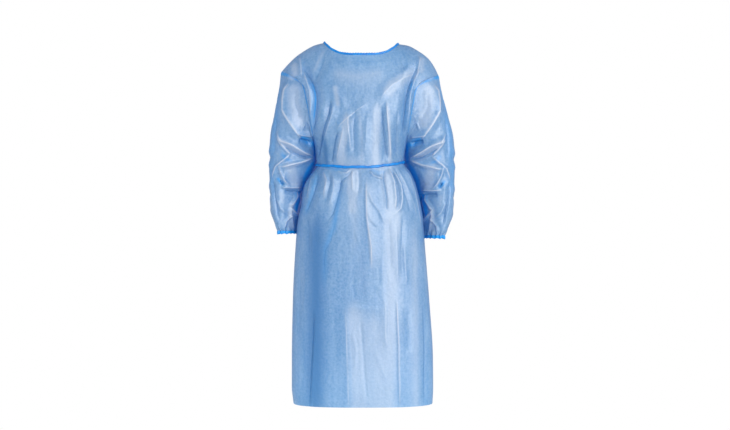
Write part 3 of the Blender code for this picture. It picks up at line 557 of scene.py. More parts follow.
def sheet_object(name, grid, normals, layers_and_shade, painted_light, around=False):
    """A cloth sheet on a grid of points, facing along its normals, with its doubled layers, painted shade
    and painted highlight.
    """
    rows, columns = grid.shape[:2]
    corner = np.arange(rows * columns).reshape(rows, columns)
    if around:
        corner = np.column_stack((corner, corner[:, :1]))
    quads = np.stack((corner[:-1, :-1], corner[:-1, 1:], corner[1:, 1:], corner[1:, :-1]), axis=-1)
    quads = quads.reshape(-1, 4)
    points = grid.reshape(-1, 3)
    first, second, _, last = (points[quads[:, i]] for i in range(4))
    facing = np.cross(second - first, last - first)
    if np.sum(facing * normals.reshape(-1, 3)[quads[:, 0]]) < 0:
        quads = quads[:, ::-1]
    piece = mesh_object(name, points, quads.tolist())
    for mark, values in (("layers_and_shade", layers_and_shade), ("painted_light", painted_light)):
        piece.data.attributes.new(mark, "FLOAT", "POINT").data.foreach_set("value", values.ravel())
    return piece


class Shade:
    """A shader socket: sums written with it add the nodes that work them out."""

    def __init__(self, tree, socket=None):
        self.tree = tree
        self.socket = socket

    def node(self, kind, settings, sockets, output=0):
        """Add a node: its settings first, then a value or a link for each named socket."""
        node = self.tree.nodes.new(kind)
        for name, setting in settings.items():
            setattr(node, name, setting)
        for key, value in sockets.items():
            if isinstance(value, Shade):
                self.tree.links.new(value.socket, node.inputs[key])
            else:
                node.inputs[key].default_value = value
        return Shade(self.tree, node.outputs[output])

    def maths(self, operation, first, second):
        """Add a node of arithmetic between two sockets or numbers."""
        return self.node("ShaderNodeMath", {"operation": operation}, {0: first, 1: second})

    def __add__(self, other):
        return self.maths("ADD", self, other)

    def __radd__(self, other):
        return self.maths("ADD", other, self)

    def __sub__(self, other):
        return self.maths("SUBTRACT", self, other)

    def __rsub__(self, other):
        return self.maths("SUBTRACT", other, self)

    def __mul__(self, other):
        return self.maths("MULTIPLY", self, other)

    def __rmul__(self, other):
        return self.maths("MULTIPLY", other, self)

    def __pow__(self, other):
        return self.maths("POWER", self, other)

    def noise(self, place, scale, detail=2.0):
        """Cloudy patches from 0 to 1, about 1 / scale metres across."""
        sockets = {"Vector": place, "Scale": scale, "Detail": detail}
        return self.node("ShaderNodeTexNoise", {}, sockets, "Fac")

    def mix(self, share, first, second):
        """A colour between two others."""
        return self.node("ShaderNodeMix", {"data_type": "RGBA"}, {0: share, 6: first, 7: second}, 2)


# Coated cloth: sky blue in one layer, deeper where seams double it, with painted shade in rolls, pockets,
# troughs and deep zones and painted highlight along ridges and on pale zones. It is clouded, mottled like
# wool and streaked along its length.
CLOTH_PALE = (0.252, 0.424, 0.618, 1.0)
CLOTH_DEEP = (0.105, 0.272, 0.485, 1.0)
CLOTH_DOUBLE_AND_SHADE = (0.001, 0.305, 0.740, 1.0)  # two layers on seams and rolls, and painted shade in pockets and hollows
CLOTH_PAINTED_HIGHLIGHT = (0.600, 0.672, 0.735, 1.0)  # painted highlight along a ridge
# Painted shade along a trough
CLOTH_PAINTED_SHADE = (0.030, 0.165, 0.370, 1.0)
CLOTH_THROUGH = (0.040, 0.370, 0.820, 1.0)  # the light that comes through it
CLOTH_THINNESS = 0.28  # share of the light that comes through
STREAK_STRETCH = (1.0, 1.0, 0.10)
MOTTLE_SHARE = 1.9  # against the clouds and streaks
PALE_LEVEL = 1.45  # the higher it is, the more of the cloth is the paler blue
DOUBLE_AND_SHADE_SHARE = 0.95  # how far the colour goes towards that of two layers and painted shade
PAINTED_HIGHLIGHT_SHARE = 0.9  # towards the painted highlight of a ridge
PAINTED_SHADE_SHARE = 0.95  # and towards the painted shade of a trough
CLOTH_ROUGHNESS = (0.40, 0.12)  # the least, and what its mottle adds
BUMP_SHARES = (0.5, 0.25, 0.5, 0.5)  # of mottle, bonding, crumple and streaks

cloth = bpy.data.materials.new("coated_nonwoven")
cloth.use_nodes = True
paint = Shade(cloth.node_tree)
place = paint.node("ShaderNodeTexCoord", {}, {}, "Object")
cloud = paint.noise(place, scale=9.0, detail=3.0)
mottle = paint.noise(place, scale=150.0, detail=3.0)
bonding = paint.noise(place, scale=620.0, detail=1.0)
pulled = paint.node("ShaderNodeVectorMath", {"operation": "MULTIPLY"}, {0: place, 1: STREAK_STRETCH})
streaks = paint.noise(pulled, scale=85.0, detail=3.0)
crumple = paint.node(
    "ShaderNodeTexVoronoi", {"feature": "DISTANCE_TO_EDGE"}, {"Vector": place, "Scale": 70.0}
)
doubled_and_shaded = paint.node("ShaderNodeAttribute", {"attribute_name": "layers_and_shade"}, {}, "Fac")
painted_marks = paint.node("ShaderNodeAttribute", {"attribute_name": "painted_light"}, {}, "Fac")
blue = paint.mix(cloud + mottle * MOTTLE_SHARE + streaks - PALE_LEVEL, CLOTH_PALE, CLOTH_DEEP)
# Deeper where seams and rolls lie double, and painted shade in pockets and hollows
blue = paint.mix(doubled_and_shaded * DOUBLE_AND_SHADE_SHARE, blue, CLOTH_DOUBLE_AND_SHADE)
# Painted highlight along ridges and painted shade along troughs
painted_highlights = painted_marks.maths("MAXIMUM", painted_marks, 0.0)
painted_shade = painted_marks.maths("MAXIMUM", painted_marks * -1.0, 0.0)
blue = paint.mix(painted_highlights * PAINTED_HIGHLIGHT_SHARE, blue, CLOTH_PAINTED_HIGHLIGHT)
blue = paint.mix(painted_shade * PAINTED_SHADE_SHARE, blue, CLOTH_PAINTED_SHADE)
in_mottle, in_bonding, in_crumple, in_streaks = BUMP_SHARES
height = mottle * in_mottle + bonding * in_bonding + crumple * in_crumple + streaks * in_streaks
bump = paint.node("ShaderNodeBump", {}, {"Height": height, "Distance": 0.0016, "Strength": 0.60})
film = cloth.node_tree.nodes["Principled BSDF"]
for socket, value in (("Specular IOR Level", 1.0), ("Coat Weight", 0.80), ("Coat Roughness", 0.38)):
    film.inputs[socket].default_value = value
links = cloth.node_tree.links
links.new(blue.socket, film.inputs["Base Color"])
roughness = CLOTH_ROUGHNESS[0] + CLOTH_ROUGHNESS[1] * mottle
links.new(roughness.socket, film.inputs["Roughness"])
links.new(bump.socket, film.inputs["Normal"])
glow = paint.node("ShaderNodeBsdfTranslucent", {}, {"Color": CLOTH_THROUGH, "Normal": bump})
film_shade = Shade(cloth.node_tree, film.outputs[0])
both = paint.node("ShaderNodeMixShader", {}, {0: CLOTH_THINNESS, 1: film_shade, 2: glow})
links.new(both.socket, cloth.node_tree.nodes["Material Output"].inputs["Surface"])

front_shares = np.linspace(0.0, 1.0, FRONT_COLUMNS + 1)
front_creases = FRONT_CREASES + crinkles(11, FRONT_CRINKLES, (-190, -1120), (200, -60))
front_grid, front_normals, painted_light = body_cloth(FRONT, front_shares, front_creases)
# Doubled seams and rolls, and painted shade in puckers, flanks and drapes
rolled_and_shaded = MM * crease_rise(front_grid[..., 0], front_grid[..., 2], FRONT_DOUBLE_AND_SHADE)[0]
layers_and_shade = np.maximum(seam_layers(front_grid, ("first", "last")), np.clip(rolled_and_shaded, 0.0, 1.0))
# Painted highlight and painted shade zones on the front
painted_light = with_painted_zones(painted_light, front_grid[..., 0], front_grid[..., 2], FRONT_PAINTED_ZONES)
front = sheet_object("front_cloth", front_grid, front_normals, layers_and_shade, painted_light)
front.data.materials.append(cloth)
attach(front, "root")
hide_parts("body_front")


# The back: two halves of the same cloth, open from neck to hem. The right half laps over the
# left past the centre, and only the ties at the nape and the belt hold them together.
BACK_COLUMNS = 120
LAP = 0.30  # share of a whole row that lies double
LAP_DEEP = 0.0056  # the left half lies this far under
LAP_EASE = 0.14  # share of the row over which it comes out again
BACK_CRINKLES = 220

BACK_CREASES = crease_rows("""
left arm roll edge; -9 26 9; -170,-70 -152,-130 -145,-200 -142,-290
right arm roll edge; -9 9 26; 166,-76 148,-140 140,-205 137,-292
left blade slant; 5 16 24; -150,-120 -112,-160 -84,-210 -70,-280
right blade slant; 4.5 24 15; 146,-124 116,-150 92,-200 82,-262
left waist trough; -8 24 9; -104,-190 -103,-260 -97,-330 -94,-392
right waist trough; -8 9 26; 98,-200 104,-270 100,-330 104,-392
left waist ridge; 4 8 14; -72,-250 -66,-320 -68,-388
right waist ridge; 4 14 7; 64,-240 62,-300 70,-386
middle waist pleat; -4 12 6; 22,-290 18,-340 24,-392
nape slack; 3 12 10; -90,-60 -30,-84 30,-86 92,-58
left flank fold; -8 8 24; -132,-406 -140,-450 -156,-520 -164,-560
right flank fold; -7 26 8; 128,-402 138,-450 148,-500 160,-570
left gather one; 5 5 8; -112,-402 -108,-450 -118,-508
left gather two; -5 9 6; -96,-402 -92,-440 -98,-520
left gather three; 4 6 9; -78,-402 -72,-446 -76,-486
left gather four; -4 6 6; -58,-402 -60,-452 -54,-500
middle gather; 4.5 6 10; 20,-402 26,-450 22,-520
right gather one; -5 7 9; 46,-402 50,-446 44,-530
right gather two; 4.5 8 5; 64,-402 72,-440 70,-490
right gather three; -5 6 7; 84,-402 90,-460 86,-514
right gather four; 5 7 8; 104,-402 114,-450 118,-512
left drape; -8 34 30; -100,-430 -116,-560 -112,-700 -120,-820
right drape; -8 30 34; 104,-430 118,-580 114,-720 128,-860
left seat ridge; 6 30 26; -50,-470 -56,-640 -52,-820
right seat ridge; 6 28 34; 58,-480 50,-660 60,-880
left low fold; -9 12 34; -130,-780 -138,-940 -142,-1172
right low fold; -9 34 12; 138,-760 146,-950 150,-1172
left low ridge; 5 26 8; -74,-840 -78,-980 -80,-1172
right low ridge; 5 8 26; 84,-860 88,-1000 92,-1172
pack fold; 3 22 10; -110,-842 -20,-840 70,-844 130,-842
""")

# Painted highlight zones on the back
BACK_PAINTED_ZONES = crease_rows("""
left blade; 1.0 30 34; -150,-110 -110,-156 -84,-230
right blade; 1.0 32 28; 148,-116 112,-150 88,-220
left waist panel; 1.1 18 20; -66,-220 -70,-330 -66,-430
right waist panel; 1.1 22 16; 66,-220 62,-320 72,-430
left seat; 1.1 40 44; -56,-440 -58,-640 -52,-860 -60,-1300
right seat; 1.0 46 38; 62,-460 54,-680 64,-900 70,-1300
left flank; 0.7 26 30; -158,-520 -166,-760 -170,-1300
right flank; 0.7 30 26; 160,-520 168,-760 172,-1300
""")

left_shares = np.linspace(0.0, 0.5 + LAP / 2, BACK_COLUMNS + 1)
right_shares = np.linspace(0.5 - LAP / 2, 1.0, BACK_COLUMNS + 1)
for name, node, shares, seam, seed in (
    ("left_back_cloth", "back_left", left_shares, "first", 23),
    ("right_back_cloth", "back_right", right_shares, "last", 37),
):
    creases = BACK_CREASES + crinkles(seed, BACK_CRINKLES, (-200, -1120), (200, -60))
    grid, normals, painted_light = body_cloth(BACK, shares, creases)
    painted_light = with_painted_zones(painted_light, grid[..., 0], grid[..., 2], BACK_PAINTED_ZONES)
    if seam == "first":
        start = 0.5 - LAP / 2 - LAP_EASE
        under = LAP_DEEP * ease((shares - start) / LAP_EASE)
        left_back_plain, left_back_normals = grid, normals
        grid = grid - normals * under[None, :, None]
        left_back_grid = grid
    else:
        right_back_grid, right_back_normals = grid, normals
    half = sheet_object(name, grid, normals, seam_layers(grid, (seam,)), painted_light)
    half.data.materials.append(cloth)
    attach(half, "root")
    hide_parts(node)


# The sleeves: long and full, each one piece of the same cloth with a seam under the arm, set
# into a dropped armhole. The arm inside is bent a little, so the cloth breaks into sharp
# ridges at the elbow and pockets at the forearm, and elastic gathers its end.
SLEEVE_ROWS = 250
SLEEVE_HALF_COLUMNS = 110  # columns over the front half, and as many over the back
RIGHT_SLEEVE_OUT = 0.005  # at its outer line
RIGHT_SLEEVE_IN = 0.006  # at its inner line, as the body is narrower there
RIGHT_SLEEVE_DOWN = 0.015
ARMHOLE_FADE = 0.40  # share of the sleeve over which the armhole's own shape fades out
GATHERS = 14
GATHER_TALL = 0.0026
GATHER_SHARE = 0.15  # share of the sleeve above the cuff that is gathered
GATHER_WANDER = (0.5, 0.35)  # how uneven their spacing is, in radians
PUCKERS = 46  # in the armhole seam
PUCKER_TALL = 0.0011
PUCKER_START = 0.01  # shares of the sleeve over which they set in and die away
PUCKER_SHARE = 0.055
PUCKER_UNEVEN = 0.4  # share of their rise
SLEEVE_FADE = 0.08  # share over which creases die away at both ends
BACK_TURN, BACK_BLEND = 0.25, 0.5  # where the front's creases give way to the back's
SIDE_TURN, SIDE_BLEND = 0.50, 0.35  # and where the side's set in
SLEEVE_CRINKLES = 110

# For the left arm: a ring's outer and inner ends, how far back each lies, and its half depth
Ring = namedtuple("Ring", "outer outer_height inner inner_height outer_back inner_back depth")
RINGS = (
    Ring(0.2570, -0.0895, 0.1520, -0.316, 0.000, 0.000, 0.082),
    Ring(0.2640, -0.1350, 0.1505, -0.325, 0.000, 0.016, 0.084),
    Ring(0.2725, -0.1800, 0.1465, -0.335, 0.000, 0.038, 0.086),
    Ring(0.2830, -0.2300, 0.1440, -0.347, 0.002, 0.048, 0.087),
    Ring(0.2920, -0.2850, 0.1430, -0.361, 0.004, 0.052, 0.086),
    Ring(0.2955, -0.3400, 0.1430, -0.384, 0.004, 0.055, 0.082),
    Ring(0.2960, -0.3950, 0.1560, -0.414, 0.002, 0.057, 0.076),
    Ring(0.2945, -0.4450, 0.1770, -0.450, -0.002, 0.062, 0.070),
    Ring(0.2935, -0.4950, 0.1870, -0.495, -0.008, 0.062, 0.065),
    Ring(0.2895, -0.5350, 0.1955, -0.535, -0.012, 0.056, 0.059),
    Ring(0.2805, -0.5650, 0.2020, -0.565, -0.015, 0.050, 0.051),
    Ring(0.2725, -0.5890, 0.2070, -0.589, -0.017, 0.047, 0.043),
    Ring(0.2655, -0.6010, 0.2090, -0.601, -0.018, 0.045, 0.038),
)

# Here a crease's x is the distance out from the gown's middle, so its left is the body's side
SLEEVE_FRONT_CREASES = crease_rows("""
upper arm ridge; 9 36 22; 222,-114 240,-158 244,-183 246,-220 226,-258 201,-296 179,-321
upper arm lip; 5 14 5; 208,-294 182,-298 153,-300
upper arm pocket; -13 5 20; 198,-308 179,-313 156,-318
chevron one; 2.8 4 5; 187,-283 175,-255 170,-233
chevron two; 2.8 4 4; 174,-245 164,-264 157,-283
shoulder soft fold; -3 14 14; 204,-151 208,-202 192,-245
elbow top ridge; 9 18 11; 272,-280 252,-316 223,-326 201,-340 179,-353 148,-364
elbow branch; 5 6 8; 266,-302 253,-327 237,-343 220,-362
elbow valley; -7 8 7; 252,-330 223,-347 192,-362 154,-368
elbow low ridge; 8 8 14; 267,-396 245,-396 223,-389 192,-380 170,-371 148,-363
outer elbow slant; 5.5 10 9; 222,-355 248,-377 270,-396 284,-437
forearm panel; 3.5 22 9; 242,-402 245,-434 241,-459
forearm slant; 5 7 8; 262,-387 255,-415 245,-440 226,-462
forearm pocket; -6 5 5; 258,-440 246,-455
forearm lip; 8 14 5; 256,-462 226,-463 192,-460
forearm lip shade; -9 4 14; 245,-473 220,-475 192,-475
wrist ridge; 6.5 9 8; 200,-462 209,-493 228,-528
wrist pocket; -9 6 9; 191,-468 187,-500 195,-534 201,-556
wrist slant; 5.5 7 6; 231,-522 214,-542 196,-566
wrist fork one; 4.5 6 6; 228,-522 225,-553 241,-572 245,-600
wrist fork two; 3.5 5 4; 226,-547 221,-572 219,-600
outer forearm trough; -6 14 8; 281,-434 275,-490 264,-534 258,-578
outer forearm slant; 3.5 8 7; 270,-497 255,-531 236,-547
outer upper trough; -4 14 8; 267,-227 275,-296 276,-365
""")
# Where the sleeve lies double, and painted shade in its pockets and along its outer edge: the rise is a
# share of the darkening
SLEEVE_DOUBLE_AND_SHADE = crease_rows("""
inner band; 2.4 18 13; 154,-296 142,-345 146,-380 165,-405 178,-434 182,-466 201,-559
under arm pocket; 1.0 16 16; 196,-300 174,-312 150,-330
forearm pocket; 1.0 8 7; 268,-429 256,-446 244,-456
wrist pocket; 1.4 12 14; 196,-464 204,-500 208,-556
forearm side; 0.6 8 10; 252,-350 240,-372 214,-382
outer edge; 0.45 26 30; 240,-90 262,-180 282,-280 292,-380 284,-520
""")
# Painted highlight zones on the sleeves
SLEEVE_PAINTED_ZONES = crease_rows("""
cap; 1.3 24 22; 206,-60 214,-90 222,-130
cap crease; 0.7 5 4; 224,-112 212,-96 206,-116 186,-130
upper arm crease; 0.7 4 4; 222,-132 240,-154 244,-188 246,-219
upper arm low crease; 1.7 4 5; 247,-212 240,-232 222,-261 200,-295
elbow crease; 1.1 4 5; 266,-292 261,-311 242,-318 217,-330 189,-349 166,-362
elbow low crease; 0.9 5 4; 160,-364 184,-379 208,-390 238,-398
elbow slant crease; 0.7 3 4; 257,-322 242,-337 225,-358
outer elbow crease; 0.6 4 3; 225,-358 242,-375 268,-390
upper arm panel; 1.2 40 34; 212,-120 212,-190 204,-240 190,-290
elbow panel; 0.9 20 20; 262,-300 236,-334 196,-356 160,-368
forearm panel; 1.3 30 26; 236,-372 220,-410 212,-470
outer forearm; 0.5 16 16; 256,-470 248,-520
wrist panel; 1.0 16 16; 222,-500 226,-550 230,-610
""")
SLEEVE_BACK_CREASES = crease_rows("""
shoulder fold; 5 16 24; 206,-130 226,-180 240,-250
upper arm ridge; 8 26 18; 180,-170 206,-230 246,-286
elbow hollow; -10 8 22; 176,-322 214,-330 262,-326
elbow top ridge; 7 12 16; 170,-340 212,-352 270,-346
elbow low ridge; 8 18 9; 176,-388 220,-384 276,-402
elbow slant; 5 8 9; 200,-352 236,-372 262,-410
forearm ridge; 8 8 16; 206,-446 240,-462 284,-480
forearm shade; -7 12 4; 208,-462 240,-476 276,-492
forearm slant; 4.5 8 10; 210,-420 232,-446 270,-452
wrist ridge; 5 8 8; 250,-500 240,-540 244,-596
wrist fold; -6 8 8; 222,-500 226,-540 222,-590
""")

# Across the outer side of the arm: here a crease's x is the distance back
SLEEVE_SIDE_CREASES = crease_rows("""
upper fold; -4 14 18; -16,-120 -10,-200 6,-290
upper ridge; 3.5 8 16; 22,-130 16,-210 26,-300
elbow break; 2.4 14 20; -48,-334 0,-346 54,-350
elbow hollow; -2.8 14 12; -46,-370 4,-364 52,-376
elbow low ridge; 2.2 10 14; -42,-398 2,-388 50,-404
forearm slant; 2.2 10 14; -40,-436 -6,-462 42,-466
forearm shade; -2.4 12 9; -36,-476 0,-490 38,-482
wrist ridge; 3 6 8; -10,-520 -4,-560 0,-600
wrist fold; -3 6 6; 24,-508 18,-560 16,-600
""")


def sleeve_cloth(side, seed):
    """The creased sleeve and its outward directions, rows from the armhole to the cuff."""
    front_hole = edge_points(ARMHOLE[FRONT], FRONT, side, SLEEVE_HALF_COLUMNS)[::-1]
    back_hole = edge_points(ARMHOLE[BACK], BACK, side, SLEEVE_HALF_COLUMNS)
    hole = np.concatenate((front_hole, back_hole[1:-1]))
    angle = np.arange(len(hole)) * 2 * math.pi / len(hole)
    right = 1.0 if side == RIGHT else 0.0
    share = np.linspace(0.0, 1.0, SLEEVE_ROWS + 1)
    at = np.linspace(0.0, 1.0, len(RINGS))
    ring = {name: through(at, column(RINGS, name), share) for name in Ring._fields}
    out, down = right * RIGHT_SLEEVE_OUT * np.sin(math.pi * share), right * RIGHT_SLEEVE_DOWN * share
    rise = right * belt_rise(ring["inner_height"]) - down * share ** 2
    outer_x = side * (ring["outer"] + out)
    outer = np.column_stack((outer_x, ring["outer_back"], ring["outer_height"] - down))
    inner_x = side * (ring["inner"] - right * RIGHT_SLEEVE_IN)
    inner = np.column_stack((inner_x, ring["inner_back"], ring["inner_height"] + rise))
    middle, reach = (outer + inner) / 2, (outer - inner) / 2
    forward = np.column_stack((0 * share, -ring["depth"], 0 * share))
    turn = np.cos(angle)[None, :, None] * reach[:, None] + np.sin(angle)[None, :, None] * forward[:, None]
    plain = middle[:, None] + turn
    plain = plain + (hole - plain[0]) * (1.0 - ease(share / ARMHOLE_FADE))[:, None, None]

    normals = outward(plain, around=True)
    share, angle = share[:, None], angle[None, :]
    x = np.abs(plain[..., 0])
    z = plain[..., 2] + right * RIGHT_SLEEVE_DOWN * share
    facing_front = ease((BACK_TURN - normals[..., 1]) / BACK_BLEND)
    facing_out = ease((side * normals[..., 0] - SIDE_TURN) / SIDE_BLEND)
    small = crinkles(seed, SLEEVE_CRINKLES, (170, -560), (290, -120))
    rise, painted_light = crease_rise(x, z, SLEEVE_FRONT_CREASES + small)
    back_rise, back_painted_light = crease_rise(x, z, SLEEVE_BACK_CREASES + small)
    side_rise, side_painted_light = crease_rise(plain[..., 1], z, SLEEVE_SIDE_CREASES)
    between = ease(share / SLEEVE_FADE) * ease((1.0 - share) / SLEEVE_FADE)
    rise = between * (back_rise + (rise - back_rise) * facing_front + side_rise * facing_out)
    painted_light = between * (back_painted_light + (painted_light - back_painted_light) * facing_front + side_painted_light * facing_out)
    painted_light = with_painted_zones(painted_light, x, z, SLEEVE_PAINTED_ZONES)
    # Doubling and painted shade, on the sleeve's front-facing side only
    layers_and_shade = MM * crease_rise(x, z, SLEEVE_DOUBLE_AND_SHADE)[0] * facing_front
    gather = ease((share - 1.0 + GATHER_SHARE) / GATHER_SHARE)
    wander = GATHER_WANDER[0] * np.sin(3 * angle + side) + GATHER_WANDER[1] * np.sin(5 * angle)
    rise = rise + GATHER_TALL * gather * np.cos(GATHERS * angle + wander)
    pucker = np.clip(share / PUCKER_START, 0, 1) * (1.0 - ease(share / PUCKER_SHARE))
    pucker = pucker * np.cos(PUCKERS * angle)
    uneven = 1.0 - PUCKER_UNEVEN + PUCKER_UNEVEN * np.sin(4 * angle + 1)
    rise = rise + PUCKER_TALL * pucker * uneven
    return plain + normals * rise[..., None], normals, layers_and_shade, painted_light


sleeve_ends = {}
for side, name, node, seed in (
    (LEFT, "left_sleeve_cloth", "sleeve_left", 41),
    (RIGHT, "right_sleeve_cloth", "sleeve_right", 53),
):
    grid, normals, rolled_and_shaded, painted_light = sleeve_cloth(side, seed)
    sleeve_ends[side] = grid[-1]
    down_sleeve = np.linalg.norm(np.diff(grid, axis=0), axis=2).mean(axis=1)
    from_seam = np.concatenate(([0.0], np.cumsum(down_sleeve)))
    layers_and_shade = np.maximum(near_seam(from_seam)[:, None], np.clip(rolled_and_shaded, 0.0, 1.0))
    sleeve = sheet_object(name, grid, normals, layers_and_shade, painted_light, around=True)
    sleeve.data.materials.append(cloth)
    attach(sleeve, "root")
    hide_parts(node)


# The cuffs: narrow elastic sewn inside a folded edge of deeper blue, which draws the sleeve's
# end in to small even gathers.
CUFF_TALL = 0.0105
CUFF_THICK = 0.0030
CUFF_STEPS = 12  # sections along each gather
CUFF_WAVE = 0.0014  # how far each gather stands out
CUFF_WANDER = 0.8  # how uneven their spacing is, in radians
CUFF_UNEVEN = 0.0012  # how much taller the edge is on a gather
CUFF_TILT = 0.18  # how far its top leans out on the side of a gather
CUFF_OVERLAP = 0.0012  # of the edge over the sleeve's end
TRIM_BLUE = (0.0, 0.265, 0.680, 1.0)
TRIM_DEEP = (0.0, 0.095, 0.450, 1.0)
CUFF_BLUE = (0.01, 0.270, 0.700, 1.0)
STRIP_ROUGHNESS = (0.36, 0.16)  # the least, and what its ribs add
STRIP_PATCHES = (1.6, 1.4)  # how sharply its deeper patches set in, and how deep they go


def strip_material(name, shallow, deep):
    """Folded nonwoven strip: satin, with fine ribs and patches of deeper colour."""
    strip = bpy.data.materials.new(name)
    strip.use_nodes = True
    paint = Shade(strip.node_tree)
    place = paint.node("ShaderNodeTexCoord", {}, {}, "Object")
    patch = paint.noise(place, scale=70.0)
    grain = paint.noise(place, scale=900.0)
    colour = paint.mix(patch ** STRIP_PATCHES[0] * STRIP_PATCHES[1], shallow, deep)
    relief = {"Height": grain + patch, "Distance": 0.0005, "Strength": 0.4}
    bump = paint.node("ShaderNodeBump", {}, relief)
    shader = strip.node_tree.nodes["Principled BSDF"]
    strip.node_tree.links.new(colour.socket, shader.inputs["Base Color"])
    roughness = STRIP_ROUGHNESS[0] + STRIP_ROUGHNESS[1] * grain
    strip.node_tree.links.new(roughness.socket, shader.inputs["Roughness"])
    strip.node_tree.links.new(bump.socket, shader.inputs["Normal"])
    return strip


def rounded_section(centre, out, up, thick, tall, corners=14):
    """One loop of a soft flat strip: thick along `out`, tall along `up`."""
    angle = np.arange(corners) * 2 * math.pi / corners
    across = np.sign(np.cos(angle)) * np.abs(np.cos(angle)) ** 0.8 * thick / 2
    along = np.sign(np.sin(angle)) * np.abs(np.sin(angle)) ** 0.6 * tall / 2
    return centre + across[:, None] * out + along[:, None] * up


def strip_object(name, loops, closed, material):
    """A solid strip through its sections, joined into a ring or capped at both ends."""
    loops = np.array(loops)
    count, sides = loops.shape[:2]
    faces = []
    for j in range(count if closed else count - 1):
        a, b = j * sides, (j + 1) % count * sides
        faces += [(a + i, a + (i + 1) % sides, b + (i + 1) % sides, b + i) for i in range(sides)]
    if not closed:
        faces += [tuple(reversed(range(sides))), tuple(range((count - 1) * sides, count * sides))]
    piece = mesh_object(name, loops.reshape(-1, 3), faces)
    piece.data.materials.append(material)
    return piece


cuff_blue = strip_material("cuff_edge_blue", CUFF_BLUE, TRIM_BLUE)
for side, name, node in (
    (LEFT, "left_cuff_edge", "cuff_left"),
    (RIGHT, "right_cuff_edge", "cuff_right"),
):
    end = sleeve_ends[side]
    centre = end.mean(axis=0)
    count = GATHERS * CUFF_STEPS
    ring = spread_evenly(np.concatenate((end, end[:1])), np.arange(count) / count)
    loops = []
    for i, point in enumerate(ring):
        out = unit((point - centre) * (1.0, 1.0, 0.0))
        turn = 2 * math.pi * i / CUFF_STEPS + CUFF_WANDER * math.sin(5 * math.pi * i / count)
        tall = CUFF_TALL + CUFF_UNEVEN * math.cos(turn + 0.9)
        up = np.array((0.0, 0.0, 1.0)) + out * CUFF_TILT * math.sin(turn)
        at = point + out * CUFF_WAVE * math.cos(turn) - (0.0, 0.0, tall / 2 - CUFF_OVERLAP)
        loops.append(rounded_section(at, out, up, CUFF_THICK, tall))
    cuff = strip_object(name, loops, True, cuff_blue)
    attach(cuff, "root")
    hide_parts(node)


# The neck binding: a strip of deeper blue folded over the neck's cut edge and sewn through, so
# it is pinched at each stitch. Its free ends are tied in a small knot at the nape.
BINDING_TALL = 0.0072
BINDING_THICK = 0.0028
BINDING_OVERLAP = 0.0012
BINDING_PINCH = (0.05, 0.22)  # how much a stitch changes its height and its thickness
BINDING_UNEVEN = 0.05  # share of its height
BINDING_TURN = 0.055  # distance from the middle at which it turns inward
BINDING_TURN_OVER = 0.060  # and over which it does
BINDING_SIDE_LEAN = 0.75  # how far it leans in at the sides of the neck
BINDING_LEAN = 0.10  # and at the front and back
STITCH = 0.0085
NECK_KNOT = (0.019, 0.011, 0.013)  # wide, deep, tall
NECK_TIE_LONG = 0.105
NECK_TIE_LEAN = 0.012
TIE_WIDE = 0.0085
TIE_THICK = 0.0018
TIE_CLEAR = 0.0022  # between a hanging end and the back
TIE_STEPS = 90
TIE_SIDEWAYS = 0.8  # how far through its easing the lean is at the end
TIE_TWIST = (0.35, 0.2)  # its slow and its quick turning, in radians
TIE_UNEVEN = 0.12  # share of its width
TIE_SMOOTH = 6  # steps on each side over which a hanging end evens out the back's creases
TIE_SETTLE = 0.25  # share of its length by which it lies on the back
KNOT_STRIP = (0.36, 0.20)  # width and thickness of the strip in a knot, as shares of its height
KNOT_FOOT = 0.90  # where the ends leave a knot, as a share of its half height
KNOT_FULL = 0.87  # how much of its depth stands behind the strip
KNOT_SEAT_WIDE = 0.016
KNOT_STEPS = 96

trim_blue = strip_material("trim_strip_blue", TRIM_BLUE, TRIM_DEEP)


def knot_object(name, centre, size):
    """A pulled-tight overhand knot in a flat strip, as big as `size`."""
    turn = np.arange(KNOT_STEPS) * 2 * math.pi / KNOT_STEPS
    path = np.column_stack((
        np.sin(turn) + 2 * np.sin(2 * turn),
        -np.sin(3 * turn),
        np.cos(turn) - 2 * np.cos(2 * turn),
    ))
    wide, thick = KNOT_STRIP[0] * size[2], KNOT_STRIP[1] * size[2]
    room = (np.array(size) - wide) / 2
    path *= room / np.abs(path).max(axis=0)
    run = unit(np.roll(path, -1, axis=0) - np.roll(path, 1, axis=0))
    out = unit(path)
    out = unit(out - run * np.sum(out * run, axis=1, keepdims=True))
    up = np.cross(run, out)
    loops = [
        rounded_section(np.array(centre) + p, o, u, thick, wide, 10) for p, o, u in zip(path, out, up)
    ]
    return strip_object(name, loops, True, trim_blue)


def back_depth(x, height):
    """How far back the right half's surface lies at (x, height)."""
    near = right_back_grid[:, : BACK_COLUMNS // 2 + 30]
    depth = [np.interp(x, row[:, 0], row[:, 1]) for row in near]
    heights = [np.interp(x, row[:, 0], row[:, 2]) for row in near]
    return np.interp(height, heights, depth)


